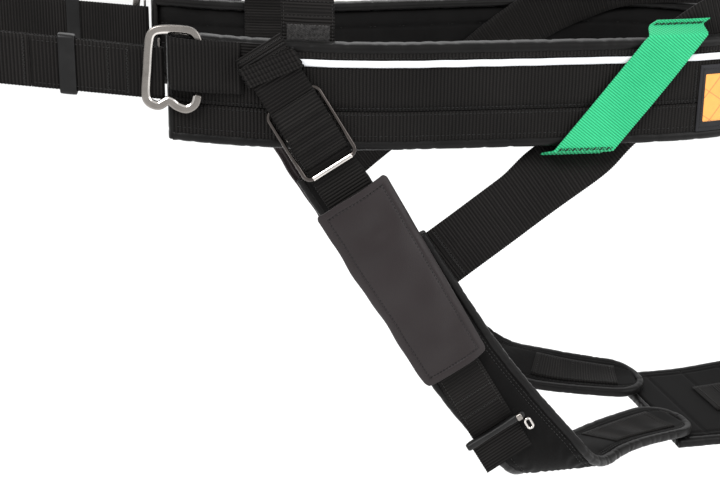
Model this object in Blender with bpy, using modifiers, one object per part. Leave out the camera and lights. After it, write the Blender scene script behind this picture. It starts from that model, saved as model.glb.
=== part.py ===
"""Tree climbing saddle: padded hip belt, leg loops, hooks, slides and straps.

Frame: +X runs to the wearer's back, +Z up, -Y is the wearer's left. The origin is the
centre of the waist opening at half the belt's height. Metres throughout.
"""
import math

import bmesh
import bpy
from mathutils import Matrix, Vector

# ---- driving dimensions -------------------------------------------------------------------
GAP = 0.0004                      # clearance between touching pieces
BELT_FRONT_X = -0.234             # front end of the padded belt
BELT_STRAIGHT_X = 0.130           # where the side run turns into the round back
BELT_BACK_X = 0.292               # back of the belt's middle surface
BELT_HALF_WIDTH = 0.136           # middle surface, side to side, halved
BELT_TAPER = 0.024                # how far each side closes in towards the front
BELT_TAPER_POWER = 1.3            # how evenly it closes in
BELT_BACK_POWER = 2.4             # squareness of the round back
BELT_HALF_HEIGHT = 0.0415
FRONT_RISE = 0.012                # the front ends stand this much higher
RISE_FROM_X = -0.050
PAD_THICK = 0.012
FACING_THICK = 0.0016
BINDING_HEIGHT = 0.0055
SEAM_Z = -0.0105                  # seam between the belt's two rows of webbing
STRIPE_Z = 0.0260
STRIPE_HEIGHT = 0.0052
WEB_THICK = 0.0018
NARROW_WEB = 0.038                # front straps, leg straps and end loops
WIDE_WEB = 0.050                  # riser strap and rear riser
GREEN_WEB = 0.038
LABEL_FRONT_X = 0.1740            # front edge of each side label
LABEL_LENGTH = 0.1200
LABEL_Z = (-0.0335, 0.0195)
LEG_ORIGIN = (-0.172, 0.1330, 0.0430)
LEG_ALONG = (0.512, 0.055, -0.859)
COVER_S = (0.133, 0.301)
COVER_HALF = 0.0296
SLIDE_S = (0.046, 0.109)
SLIDE_HALF = 0.0240
BUCKLE_S = 0.3667
BAND_THICK = 0.008
BAND_HALF = 0.0265
BAND_EDGE = 0.0050                # width of the rolled edge of the leg band
BAND_SEAM_GAP = 0.0014            # room for the two to splay apart round the fold
BAND_DEPTH = 0.0072               # band's middle below the leg strap's middle
FOLD_Z = -0.295                   # where the band starts to turn under the thigh
FOLD_RADIUS = 0.035
HOOK_X = -0.2135                  # hook's hinge bar, along the belt
HOOK_OFFSET = 0.0134              # hook plane outside the belt's middle surface
BAND_SAG = 0.012                  # the inner runs hang this much below the fold
REAR_PAD_X = (0.228, 0.372)
REAR_PAD_HALF = 0.068
REAR_RISER_INSIDE = 0.0108         # rear riser's middle, inside the belt's middle surface
SIDES = (("left", -1.0), ("right", 1.0))

COLOURS = {
    "pad": ((0.022, 0.022, 0.024), 0.85, 0.0), "web": ((0.030, 0.030, 0.033), 0.80, 0.0),
    "binding": ((0.028, 0.027, 0.028), 0.60, 0.0), "stripe": ((0.78, 0.80, 0.80), 0.35, 0.0),
    "green": ((0.03, 0.55, 0.25), 0.70, 0.0), "cover": ((0.060, 0.047, 0.050), 0.65, 0.0),
    "steel": ((0.62, 0.60, 0.57), 0.28, 1.0), "moulded": ((0.015, 0.015, 0.016), 0.45, 0.0),
    "label": ((0.08, 0.08, 0.09), 0.70, 0.0), "panel": ((0.90, 0.42, 0.08), 0.60, 0.0),
    "loop_pile": ((0.040, 0.038, 0.038), 0.95, 0.0),
}

for old in list(bpy.data.objects):
    bpy.data.objects.remove(old, do_unlink=True)
PARTS = bpy.data.collections.new("tree_climbing_saddle")
bpy.context.scene.collection.children.link(PARTS)


def material(kind):
    """One Principled material for each kind of stuff."""
    name = "saddle_" + kind
    if name in bpy.data.materials:
        return bpy.data.materials[name]
    made = bpy.data.materials.new(name)
    made.use_nodes = True
    colour, rough, metal = COLOURS[kind]
    shader = made.node_tree.nodes["Principled BSDF"]
    shader.inputs["Base Color"].default_value = (*colour, 1.0)
    shader.inputs["Roughness"].default_value = rough
    shader.inputs["Metallic"].default_value = metal
    return made


def add_object(name, bm, kind):
    """Turns a bmesh into a named part."""
    mesh = bpy.data.meshes.new(name)
    bm.to_mesh(mesh)
    bm.free()
    mesh.materials.append(material(kind))
    made = bpy.data.objects.new(name, mesh)
    PARTS.objects.link(made)
    return made


def thicken(made, thickness):
    """A Solidify modifier centred on the sheet."""
    solid = made.modifiers.new("thickness", "SOLIDIFY")
    solid.thickness = thickness
    solid.offset = 0.0
    solid.use_even_offset = True
    return made


def sheet(name, kind, thickness, count, cross, place, closed=False):
    """A grid bent by place(t, u), t along 0..1 and u across -1..1, then thickened."""
    bm = bmesh.new()
    bmesh.ops.create_grid(bm, x_segments=count, y_segments=cross, size=1.0)
    for vert in bm.verts:
        vert.co = place((vert.co.x + 1.0) / 2.0, vert.co.y)
    if closed:
        bmesh.ops.remove_doubles(bm, verts=bm.verts, dist=0.00002)
    bmesh.ops.recalc_face_normals(bm, faces=bm.faces)
    return thicken(add_object(name, bm, kind), thickness)


def polyline(points):
    """A function that gives the point at a fraction of a polyline's length."""
    points = [Vector(p) for p in points]
    marks = [0.0]
    for a, b in zip(points, points[1:]):
        marks.append(marks[-1] + (b - a).length)

    def at(t):
        want = min(max(t, 0.0), 1.0) * marks[-1]
        for i in range(len(points) - 1):
            if want <= marks[i + 1] or i == len(points) - 2:
                share = (want - marks[i]) / (marks[i + 1] - marks[i])
                return points[i].lerp(points[i + 1], share)
    return at


def curve(points, closed=False, steps=10):
    """A smooth curve through a few points, as a function of its length's fraction."""
    points = [Vector(p) for p in points]
    last = len(points)
    dense = []
    for i in range(last if closed else last - 1):
        if closed:
            p = [points[(i + k) % last] for k in (-1, 0, 1, 2)]
        else:
            p = [points[min(max(i + k, 0), last - 1)] for k in (-1, 0, 1, 2)]
        for step in range(steps):
            t = step / steps
            dense.append(0.5 * (2 * p[1] + (p[2] - p[0]) * t
                                + (2 * p[0] - 5 * p[1] + 4 * p[2] - p[3]) * t ** 2
                                + (3 * p[1] - p[0] - 3 * p[2] + p[3]) * t ** 3))
    dense.append(points[0] if closed else points[-1])
    return polyline(dense)


# ---- the belt's surface -------------------------------------------------------------------
def belt_half(x):
    """Half width of the belt's middle surface at x."""
    if x <= BELT_STRAIGHT_X:
        share = (x - BELT_STRAIGHT_X) / (BELT_FRONT_X - BELT_STRAIGHT_X)
        return BELT_HALF_WIDTH - BELT_TAPER * share ** BELT_TAPER_POWER
    share = (x - BELT_STRAIGHT_X) / (BELT_BACK_X - BELT_STRAIGHT_X)
    return BELT_HALF_WIDTH * max(0.0, 1.0 - share ** BELT_BACK_POWER) ** (1 / BELT_BACK_POWER)


def belt_outline():
    """Points of one side from the back's middle to the front end, +Y side."""
    run = BELT_BACK_X - BELT_STRAIGHT_X
    power = 2.0 / BELT_BACK_POWER
    points = []
    for i in range(61):
        angle = math.radians(90.0 * i / 60)
        points.append((BELT_STRAIGHT_X + run * math.cos(angle) ** power,
                       BELT_HALF_WIDTH * math.sin(angle) ** power))
    for i in range(1, 61):
        x = BELT_STRAIGHT_X + (BELT_FRONT_X - BELT_STRAIGHT_X) * i / 60
        points.append((x, belt_half(x)))
    return [Vector((x, y)) for x, y in points]


OUTLINE = belt_outline()
MARKS = [0.0]
for first, second in zip(OUTLINE, OUTLINE[1:]):
    MARKS.append(MARKS[-1] + (second - first).length)
BELT_LENGTH = MARKS[-1]           # half of the padded belt's length


def arc_at(x):
    """Distance along one side from the back's middle to the place with this x."""
    for i in range(len(OUTLINE) - 1):
        if OUTLINE[i].x >= x >= OUTLINE[i + 1].x:
            share = (OUTLINE[i].x - x) / (OUTLINE[i].x - OUTLINE[i + 1].x)
            return MARKS[i] + share * (MARKS[i + 1] - MARKS[i])
    return BELT_LENGTH + (BELT_FRONT_X - x) * 1.006


def belt_frame(arc):
    """Place and outward direction on the +Y side; past the front end it runs straight."""
    if arc >= BELT_LENGTH:
        along = (OUTLINE[-1] - OUTLINE[-2]).normalized()
        return OUTLINE[-1] + along * (arc - BELT_LENGTH), Vector((-along.y, along.x)) * -1.0
    for i in range(len(OUTLINE) - 1):
        if arc <= MARKS[i + 1]:
            break
    share = (arc - MARKS[i]) / (MARKS[i + 1] - MARKS[i])
    low = (OUTLINE[min(i + 1, 120)] - OUTLINE[max(i - 1, 0)]).normalized()
    high = (OUTLINE[min(i + 2, 120)] - OUTLINE[i]).normalized()
    if i == 0:
        low = Vector((0.0, 1.0))
    along = low.lerp(high, share).normalized()
    return OUTLINE[i].lerp(OUTLINE[i + 1], share), Vector((along.y, -along.x))


def rise(x):
    """How much higher the belt stands towards its front ends."""
    share = (RISE_FROM_X - x) / (RISE_FROM_X - BELT_FRONT_X)
    return FRONT_RISE * min(max(share, 0.0), 1.3) ** 2


def on_belt(arc, offset, z, side):
    """World point at a signed place on the belt: arc from the back, offset outwards."""
    place, out = belt_frame(abs(arc))
    flip = side * (1.0 if arc >= 0.0 else -1.0)
    x, y = place.x + out.x * offset, place.y + out.y * offset
    return Vector((x, y * flip, z + rise(x)))


def ring_band(name, kind, thickness, offset, z_low, z_high, end_arc, count=112):
    """A band that runs right round the belt between its two front ends."""
    middle, half = (z_low + z_high) / 2, (z_high - z_low) / 2

    def place(t, u):
        return on_belt((t * 2.0 - 1.0) * end_arc, offset, middle + half * u, 1.0)
    return sheet(name, kind, thickness, count, 1, place)


def build_belt():
    """Padded belt, its webbing facings, rolled edges, stripe and label."""
    inner = BELT_HALF_HEIGHT - BINDING_HEIGHT - GAP
    face = PAD_THICK / 2 + GAP + FACING_THICK / 2
    ring_band("belt_pad", "pad", PAD_THICK, 0.0, -inner, inner, BELT_LENGTH)
    ring_band("belt_facing_upper", "web", FACING_THICK, face, SEAM_Z + GAP, inner,
              BELT_LENGTH - 0.0015)
    ring_band("belt_facing_lower", "web", FACING_THICK, face, -inner, SEAM_Z - GAP,
              BELT_LENGTH - 0.0005)
    wide = PAD_THICK + 2 * FACING_THICK
    ring_band("belt_binding_upper", "binding", wide, 0.0002, inner + GAP,
              BELT_HALF_HEIGHT, BELT_LENGTH)
    ring_band("belt_binding_lower", "binding", wide, 0.0002, -BELT_HALF_HEIGHT,
              -inner - GAP, BELT_LENGTH)
    skin = face + FACING_THICK / 2 + GAP
    ring_band("reflective_stripe", "stripe", 0.0007, skin + 0.00035,
              STRIPE_Z - STRIPE_HEIGHT / 2, STRIPE_Z + STRIPE_HEIGHT / 2, arc_at(-0.141))
    middle = arc_at(LABEL_FRONT_X) - LABEL_LENGTH / 2
    high = (LABEL_Z[0] + LABEL_Z[1]) / 2
    for label, side in SIDES:
        for piece, kind, thick, offset, trim in (
                ("label_frame_", "label", 0.0014, skin + 0.0007, (0.0, 0.0)),
                ("label_panel_", "panel", 0.0008, skin + 0.0014 + GAP + 0.0004,
                 (0.0045, 0.0085))):
            half = LABEL_LENGTH / 2 - trim[0]
            tall = (LABEL_Z[1] - LABEL_Z[0]) / 2 - trim[1]

            def place(t, u, side=side, half=half, tall=tall, offset=offset):
                return on_belt(middle + half * (2 * t - 1), offset, high + tall * u, side)
            sheet(piece + label, kind, thick, 14, 1, place)


# ---- straps that lie on the belt ----------------------------------------------------------
def draped(name, kind, width, centre, offset_at, side, count, cross):
    """A strap drawn flat on the belt's surface; offset_at(z) sets how far out it stands."""
    def place(t, u):
        here, ahead = centre(t), centre(min(t + 0.01, 1.0))
        behind = centre(max(t - 0.01, 0.0))
        along = (ahead - behind).normalized()
        across = Vector((-along.y, along.x, 0.0)) * (width / 2 * u)
        spot = here + across
        return on_belt(spot.x, offset_at(spot), spot.y, side)
    return sheet(name, kind, WEB_THICK, count, cross, place)


RISER_INSIDE = -(PAD_THICK / 2 + 2 * FACING_THICK)    # riser's middle, inside the belt
RISER_AT_BAND = 0.0010


def riser_offset(spot):
    """The riser stands inside the belt and drifts outwards to the leg band below it."""
    share = min(max((-0.0470 - spot.y) / 0.022, 0.0), 1.0)
    return RISER_INSIDE + (RISER_AT_BAND - RISER_INSIDE) * share * share * (3 - 2 * share)


def build_riser():
    """One floating strap from leg band to leg band, round the back above the belt."""
    marks = [(-0.0470, -0.1475), (-0.0189, -0.1265), (0.0180, -0.0990), (0.0547, -0.0716),
             (0.0850, -0.0500), (0.1120, -0.0300), (0.1390, -0.0020), (0.1600, 0.0220),
             (0.1780, 0.0360), (0.2000, 0.0470), (0.2300, 0.0580)]
    other_marks = [(-0.0780, -0.1400), (-0.0450, -0.1120), (-0.0050, -0.0820),
                   (0.0400, -0.0520), (0.0800, -0.0220), (0.1150, 0.0040), (0.1500, 0.0260),
                   (0.1900, 0.0440), (0.2300, 0.0580)]
    one = [Vector((arc_at(x), z, 0.0)) for x, z in marks]
    back = [Vector((a, z, 0.0)) for a, z in ((0.070, 0.0660), (0.0, 0.0680), (-0.070, 0.0660))]
    other = [Vector((-arc_at(x), z, 0.0)) for x, z in reversed(other_marks)]
    route = curve(one + back + other)
    draped("riser_strap", "web", WIDE_WEB, route, riser_offset, -1.0, 120, 8)


GREEN_OUTSIDE = PAD_THICK / 2 + FACING_THICK + 3 * GAP + WEB_THICK / 2 + 0.0020


def green_offset(spot):
    """Out over the belt's face, in to the riser strap above and below the belt."""
    reach = (abs(spot.y) - (BELT_HALF_HEIGHT + 0.0018)) / 0.0075
    share = min(max(reach, 0.0), 1.0)
    ease = share * share * (3 - 2 * share)
    inner = riser_offset(spot) + WEB_THICK + 5 * GAP
    return GREEN_OUTSIDE + (inner - GREEN_OUTSIDE) * ease


def build_green(label, side):
    """Green keeper over the belt's face that holds the riser strap against it."""
    marks = [(0.0770, -0.0505), (0.0810, -0.0447), (0.1127, -0.0048), (0.1402, 0.0302),
             (0.1525, 0.0450), (0.1660, 0.0540)]
    route = polyline([(arc_at(x), z, 0.0) for x, z in marks])
    slope = (route(0.6) - route(0.4)).normalized().y

    def place(t, u):
        spot = route(t) + Vector((GREEN_WEB / 2 / slope * u, 0.0, 0.0))
        return on_belt(spot.x, green_offset(spot), spot.y, side)
    sheet("green_keeper_" + label, "green", WEB_THICK, 32, 4, place)


def build_end_loop(label, side):
    """Webbing tunnel at the belt's front end, which holds the hook's hinge bar."""
    low, high = 0.0000, 0.0385
    near = PAD_THICK / 2 + FACING_THICK + 2 * GAP + WEB_THICK / 2
    far = near + 0.0082
    back, front = arc_at(-0.1930), arc_at(-0.2345)
    points = [(back, near), (back + 0.012, near), (front - 0.006, near),
              (front - 0.0012, near + 0.0012), (front, (near + far) / 2),
              (front - 0.0012, far - 0.0012), (front - 0.006, far), (front - 0.018, far),
              (back + 0.010, far - 0.0030), (back + 0.003, near + WEB_THICK + 0.0012),
              (back, near + WEB_THICK + GAP)]
    path = curve([(a, o, 0.0) for a, o in points], steps=5)

    def place(t, u):
        spot = path(t)
        return on_belt(spot.x, spot.y, (low + high) / 2 + (high - low) / 2 * u, side)
    sheet("belt_end_loop_" + label, "web", WEB_THICK, 30, 1, place)


def build_tab(label, side):
    """Inner tab that stands up inside the belt, with a loop-pile patch on it."""
    inside = -(PAD_THICK / 2 + FACING_THICK + GAP + WEB_THICK / 2)
    rear, front = arc_at(-0.111), arc_at(-0.151)
    middle, half = (rear + front) / 2, (front - rear) / 2
    flat = polyline([(-0.020, inside, 0), (0.048, inside, 0), (0.060, inside - 0.002, 0),
                     (0.0740, inside - 0.007, 0)])

    def tab(t, u):
        spot = flat(t)
        return on_belt(middle + half * u, spot.y, spot.x, side)
    sheet("inner_tab_" + label, "web", WEB_THICK, 14, 1, tab)
    pile = inside + WEB_THICK / 2 + GAP + 0.0007

    def patch(t, u):
        return on_belt(middle + 0.002 + (half - 0.005) * u, pile, 0.0425 + 0.0075 * t, side)
    sheet("tab_pile_patch_" + label, "loop_pile", 0.0012, 3, 1, patch)


# ---- leg loop -----------------------------------------------------------------------------
def leg_axes(side):
    """Origin, along, across and outward directions of the leg strap."""
    origin = Vector((LEG_ORIGIN[0], LEG_ORIGIN[1] * side, LEG_ORIGIN[2]))
    along = Vector((LEG_ALONG[0], LEG_ALONG[1] * side, LEG_ALONG[2])).normalized()
    across = Vector((-LEG_ALONG[2], 0.0, LEG_ALONG[0])).normalized()
    out = along.cross(across) * (1.0 if along.cross(across).y * side > 0 else -1.0)
    return origin, along, across, out


def on_leg(s, w, n, side):
    """World point s down the strap, w across it and n outwards."""
    origin, along, across, out = leg_axes(side)
    return origin + along * s + across * w + out * n


def build_leg_strap(label, side):
    """Leg strap from the belt to the lower buckle, its anchor patch and keeper band."""
    half = NARROW_WEB / 2

    def strap(t, u):
        return on_leg(0.001 + 0.354 * t, half * u, 0.0, side)
    sheet("leg_strap_" + label, "web", WEB_THICK, 16, 1, strap)

    face = PAD_THICK / 2 + FACING_THICK + 3 * GAP + 0.0018 / 2

    def anchor(t, u):
        x = -0.172 + 0.016 * t + 0.0165 * u
        return on_belt(arc_at(x), face, 0.0385 - 0.0260 * t, side)
    sheet("leg_anchor_" + label, "web", 0.0018, 3, 4, anchor)

    wide, deep = half + 0.0018, 0.0024
    ring = polyline([(-wide, -deep, 0), (wide, -deep, 0), (wide, deep, 0), (-wide, deep, 0),
                     (-wide, -deep, 0)])
    corners = [0.0, wide / (2 * (wide + deep)), 0.5, 0.5 + wide / (2 * (wide + deep)), 1.0]

    def keeper(t, u):
        step = min(int(t * 4.0001), 3)
        share = corners[step] + (corners[min(step + 1, 4)] - corners[step]) * (t * 4 - step)
        spot = ring(share)
        return on_leg(0.0190 + 0.0080 * u + spot.x * 0.18, spot.x, spot.y, side)
    sheet("strap_keeper_" + label, "web", 0.0013, 4, 1, keeper, closed=True)


def frame_path(half_s, half_w, radius, steps=4):
    """Centre line of a rounded rectangle, as points in the (s, w) plane."""
    points = []
    for quarter, (a, b) in enumerate(((1, 1), (-1, 1), (-1, -1), (1, -1))):
        for step in range(steps + 1):
            angle = math.radians(90 * quarter + 90 * step / steps)
            points.append(Vector((a * (half_s - radius) + radius * math.cos(angle),
                                  b * (half_w - radius) + radius * math.sin(angle), 0)))
    return points


def flat_ring(name, kind, points, half_bar, thickness, to_world):
    """A closed bar of rectangular section along a convex loop of points."""
    count = len(points)

    def place(t, u):
        i = round(t * count) % count
        along = (points[(i + 1) % count] - points[i - 1]).normalized()
        spot = points[i] + Vector((along.y, -along.x, 0)) * (half_bar * u)
        return to_world(spot.x, spot.y)
    return sheet(name, kind, thickness, count, 1, place, closed=True)


def build_leg_slide(label, side):
    """Metal slide on the leg strap and the friction bar that floats in it."""
    middle, half_s = (SLIDE_S[0] + SLIDE_S[1]) / 2, (SLIDE_S[1] - SLIDE_S[0]) / 2
    bar = 0.0020
    tilt = 0.0042 / (half_s - bar)

    def to_world(s, w):
        return on_leg(middle + s, w, tilt * s, side)
    loop = frame_path(half_s - bar, SLIDE_HALF - bar, 0.0045)
    flat_ring("leg_slide_" + label, "steel", loop, bar, 0.0026, to_world)

    def friction(t, u):
        return on_leg(middle - 0.006 + 0.0022 * u, (2 * t - 1) * 0.0188, 0.0033, side)
    sheet("friction_bar_" + label, "steel", 0.0032, 1, 1, friction)


def build_cover(label, side):
    """Soft protective cover, hinged on its stitched rear edge."""
    def place(t, u):
        s = COVER_S[0] + (COVER_S[1] - COVER_S[0]) * t
        crown = 0.0042 + 0.0036 * (1.0 - u * u)
        return on_leg(s, COVER_HALF * u, crown, side)
    sheet("leg_cover_" + label, "cover", 0.0024, 8, 6, place)


def build_buckle(label, side):
    """Lower buckle: a moulded cross bar with a steel pivot oval, and its webbing loop."""
    bm = bmesh.new()
    bmesh.ops.create_cube(bm, size=1.0)
    bar = add_object("leg_buckle_" + label, bm, "moulded")
    origin, along, across, out = leg_axes(side)
    centre = on_leg(BUCKLE_S, 0.0, 0.0050, side)
    turn = Matrix((along, across, out)).transposed().to_4x4()
    size = Matrix.Diagonal((0.0080, 0.0540, 0.0062, 1.0))
    bar.data.transform(turn @ size)
    if turn.determinant() < 0:
        bar.data.flip_normals()
    bar.location = centre
    bevel = bar.modifiers.new("edges", "BEVEL")
    bevel.width = 0.0022
    bevel.segments = 2

    def oval(t, u):
        return on_leg(BUCKLE_S + 0.0105 + 0.0045 * u, 0.0235 + 0.0055 * t, 0.0050, side)
    sheet("buckle_oval_" + label, "steel", 0.0050, 1, 1, oval)

    def loop(t, u):
        return on_leg(0.3690 + 0.0300 * t, 0.0225 * u - 0.002, -0.0006, side)
    sheet("buckle_webbing_" + label, "web", WEB_THICK, 4, 1, loop)


BAND_ROUTE = curve([(-0.0690, -0.1230, 0), (-0.0470, -0.1580, 0), (-0.0090, -0.2160, 0),
                    (0.0260, -0.2620, 0), (0.0650, -0.3080, 0), (0.0920, -0.3400, 0),
                    (0.1230, -0.3690, 0), (0.1590, -0.3910, 0), (0.2000, -0.4080, 0),
                    (0.2430, -0.4220, 0)])


def on_band(t, w, n, side):
    """Leg band: a flat pattern that turns under the thigh round a level fold."""
    here = BAND_ROUTE(t)
    along = (BAND_ROUTE(min(t + 0.01, 1)) - BAND_ROUTE(max(t - 0.01, 0))).normalized()
    flat = here + Vector((-along.y, along.x, 0)) * w
    down = (LEG_ORIGIN[2] - flat.y) * LEG_ALONG[1] / -LEG_ALONG[2]
    top = (LEG_ORIGIN[2] - FOLD_Z) * LEG_ALONG[1] / -LEG_ALONG[2]
    below = FOLD_Z - flat.y
    radius = FOLD_RADIUS + n
    if below <= 0:
        return Vector((flat.x, (LEG_ORIGIN[1] + down - BAND_DEPTH + n) * side, flat.y))
    middle = LEG_ORIGIN[1] + top - BAND_DEPTH - FOLD_RADIUS
    turn = below / FOLD_RADIUS
    if turn < math.pi / 2:
        return Vector((flat.x, (middle + radius * math.cos(turn)) * side,
                       FOLD_Z - radius * math.sin(turn)))
    past = below - FOLD_RADIUS * math.pi / 2
    share = min(past / 0.066, 1.0)
    sag = BAND_SAG * share * share * (3 - 2 * share)
    return Vector((flat.x, (middle - past) * side, FOLD_Z - radius - sag))


def build_band(label, side):
    """Padded leg band and the rolled edges along both sides of it."""
    def pad(t, u):
        return on_band(t, BAND_HALF * u, 0.0, side)
    sheet("leg_band_" + label, "pad", BAND_THICK, 26, 2, pad)
    reach = BAND_HALF + BAND_SEAM_GAP + BAND_EDGE / 2
    for place_name, sign in (("front", -1), ("rear", 1)):
        def edge(t, u, sign=sign):
            return on_band(t, sign * reach + BAND_EDGE / 2 * u, 0.0, side)
        name = "band_edge_" + place_name + "_" + label
        sheet(name, "binding", BAND_THICK + 0.0008, 26, 1, edge)


# ---- front straps, hooks and rings --------------------------------------------------------
def on_front(u, v, n, side):
    """Frame of the hook and front strap: u forwards of the hinge bar, v up, n outwards."""
    out = belt_frame(BELT_LENGTH)[1]
    hinge = belt_frame(arc_at(HOOK_X))[0]
    forward = Vector((-1.0, 0.0)) * abs(out.y) + Vector((0.0, -abs(out.x)))
    forward.normalize()
    x = hinge.x + forward.x * u + out.x * (n + HOOK_OFFSET)
    y = hinge.y + forward.y * u + out.y * (n + HOOK_OFFSET)
    return Vector((x, y * side, v))


STRAP_SLOPE = 0.118               # the front straps rise this much for each metre forwards
STRAP_MIDDLE_V = 0.0237
LOOP_BAR_U = 0.0285               # bar that the front strap is sewn round
STRAP_END_U = 0.2040              # middle of the tie-in ring's straight bar
PIN_N = -0.0056                   # the pin and the ring stand behind the hook's plane
PIN_TURN = 0.0026                 # strap's middle from the pin's middle
RING_TURN = 0.0040                # strap's middle from the middle of the ring's bar


def strap_middle(u):
    """Height of the front strap's middle line."""
    return STRAP_MIDDLE_V + STRAP_SLOPE * (u - 0.036)


def build_hook(label, side):
    """Open hook bent from flat bar, and the pin that the front strap is sewn round."""
    line = curve([(0.0000, 0.0190, 0), (0.0000, 0.0320, 0), (0.0002, 0.0450, 0),
                  (0.0035, 0.0525, 0), (0.0115, 0.0550, 0), (0.0270, 0.0555, 0),
                  (0.0335, 0.0525, 0), (0.0358, 0.0440, 0), (0.0374, 0.0280, 0),
                  (0.0390, 0.0100, 0), (0.0370, 0.0025, 0), (0.0300, -0.0005, 0),
                  (0.0225, 0.0030, 0), (0.0160, -0.0015, 0), (0.0095, -0.0035, 0),
                  (0.0034, 0.0000, 0), (0.0012, 0.0075, 0)])

    def place(t, u):
        here = line(t)
        along = (line(min(t + 0.008, 1)) - line(max(t - 0.008, 0))).normalized()
        spot = here + Vector((along.y, -along.x, 0)) * (0.0033 * u)
        return on_front(spot.x, spot.y, 0.0, side)
    sheet("g_hook_" + label, "steel", 0.0034, 48, 1, place)

    def pin(t, u):
        return on_front(LOOP_BAR_U + 0.0010 * u, 0.0045 + 0.0440 * t, PIN_N, side)
    sheet("hook_pin_" + label, "steel", 0.0020, 1, 1, pin)


def turn_round(centre, radius, start, end, steps=8):
    """Points of a strap's turn round a bar, from one angle to another in degrees."""
    angles = [math.radians(start + (end - start) * i / steps) for i in range(steps + 1)]
    return [(centre + radius * math.cos(a), PIN_N + radius * math.sin(a)) for a in angles]


def build_front_strap(label, side):
    """Doubled webbing from the hook's pin to the tie-in ring, with its keeper."""
    back, front = LOOP_BAR_U, STRAP_END_U
    near, far = PIN_N + PIN_TURN, PIN_N - PIN_TURN
    points = [(0.1210, near), (0.0800, near), (0.0420, near)]
    points += turn_round(back, PIN_TURN, 90, 270)
    points += [(0.0420, far), (0.0800, far), (0.1500, far), (front - 0.0140, PIN_N - RING_TURN)]
    points += turn_round(front, RING_TURN, -90, 90)
    points += [(front - 0.0140, PIN_N + RING_TURN), (0.1600, near), (0.1216, near)]
    last = len(points) - 1

    def place(t, w):
        u, n = points[round(t * last)]
        return on_front(u, strap_middle(u) + NARROW_WEB / 2 * w, n, side)
    sheet("front_strap_" + label, "web", WEB_THICK, last, 1, place)

    half, deep = NARROW_WEB / 2 + 0.0022, 0.0050
    loop = [Vector((half, deep, 0)), Vector((-half, deep, 0)), Vector((-half, -deep, 0)),
            Vector((half, -deep, 0))]
    count = 4

    def keeper(t, w):
        spot = loop[round(t * count) % count]
        u = 0.0950 + 0.0060 * w
        return on_front(u, strap_middle(u) + spot.x, spot.y + PIN_N, side)
    sheet("front_keeper_" + label, "moulded", 0.0018, count, 1, keeper, closed=True)


def build_ring(label, side):
    """D-shaped steel tie-in ring with a straight bar for the strap."""
    bar, radius = 0.0040, 0.0048
    top = NARROW_WEB / 2 + 0.0030 + bar / 2 + 0.001
    points = [Vector((0.0, y, 0)) for y in (-top + radius, -0.008, 0.008, top - radius)]
    points += [Vector((0.0014, top - 0.0014, 0)), Vector((radius, top, 0))]
    for step in range(13):
        angle = math.radians(90 - 180 * step / 12)
        points.append(Vector((0.016 + top * math.cos(angle), top * math.sin(angle), 0)))
    points += [Vector((radius, -top, 0)), Vector((0.0014, -top + 0.0014, 0))]
    centre = strap_middle(STRAP_END_U)
    count = len(points)

    def place(t, w):
        i = round(t * count) % count
        along = (points[(i + 1) % count] - points[i - 1]).normalized()
        spot = points[i] + Vector((along.y, -along.x, 0)) * (bar / 2 * w)
        return on_front(STRAP_END_U + spot.x, centre + spot.y, PIN_N, side)
    sheet("tie_in_ring_" + label, "steel", 0.0036, count, 1, place, closed=True)


# ---- rear pad and rear riser --------------------------------------------------------------
BAND_BOTTOM = FOLD_Z - FOLD_RADIUS - BAND_SAG - BAND_THICK / 2 - 0.0004


def build_rear():
    """Pad that joins the two leg bands, its edging and the riser up to the belt's back."""
    low, high = REAR_PAD_X
    level = BAND_BOTTOM - GAP - BAND_THICK / 2

    def height(x):
        share = max(0.0, (x - 0.280) / (high - 0.280))
        return level + 0.012 * share ** 2

    def pad(t, u):
        x = low + (high - low) * t
        narrow = 1.0 - 0.10 * max(0.0, (t - 0.6) / 0.4) ** 2
        return Vector((x, REAR_PAD_HALF * narrow * u, height(x)))
    sheet("rear_pad", "pad", BAND_THICK, 14, 4, pad)

    for label, side in SIDES:
        def edge(t, u, side=side):
            return pad(t, side) + Vector((0.0, side * (GAP + 0.0025 + 0.0025 * u), 0.0))
        sheet("rear_pad_edge_" + label, "binding", BAND_THICK + 0.0006, 14, 1, edge)

    inside = BELT_BACK_X - REAR_RISER_INSIDE
    lift = BAND_THICK / 2 + GAP + WEB_THICK / 2
    points = [(0.292, height(0.292) + lift + 0.0001), (0.325, height(0.325) + lift + 0.0004),
              (0.352, height(0.352) + lift + 0.0008), (0.378, height(high) + lift + 0.0045),
              (0.396, -0.312), (0.4010, -0.285), (0.3995, -0.258), (0.393, -0.235),
              (0.373, -0.185), (0.353, -0.135), (0.333, -0.094), (0.314, -0.0695),
              (0.296, -0.0545), (0.2826, -0.0432), (inside, -0.028), (inside, 0.018)]
    route = curve([(x, z, 0) for x, z in points])

    def riser(t, u):
        spot = route(t)
        return Vector((spot.x, WIDE_WEB / 2 * u, spot.y))
    sheet("rear_riser", "web", WEB_THICK, 48, 1, riser)

    start, end = Vector((0.3809, 0, -0.2048)), Vector((0.3651, 0, -0.1652))
    along = (end - start).normalized()
    out = Vector((-along.z, 0, along.x)) * -1.0
    middle = (start + end) / 2
    loop = frame_path(0.0150, WIDE_WEB / 2 + 0.0040, 0.0040)

    def to_world(s, w):
        return middle + along * s + Vector((0, w, 0)) + out * (0.0035 * s / 0.015 + 0.0004)
    flat_ring("rear_slide", "steel", loop, 0.0020, 0.0026, to_world)


build_belt()
build_riser()
build_rear()
for side_name, side_sign in SIDES:
    build_green(side_name, side_sign)
    build_end_loop(side_name, side_sign)
    build_tab(side_name, side_sign)
    build_leg_strap(side_name, side_sign)
    build_leg_slide(side_name, side_sign)
    build_cover(side_name, side_sign)
    build_buckle(side_name, side_sign)
    build_band(side_name, side_sign)
    build_hook(side_name, side_sign)
    build_front_strap(side_name, side_sign)
    build_ring(side_name, side_sign)
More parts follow.
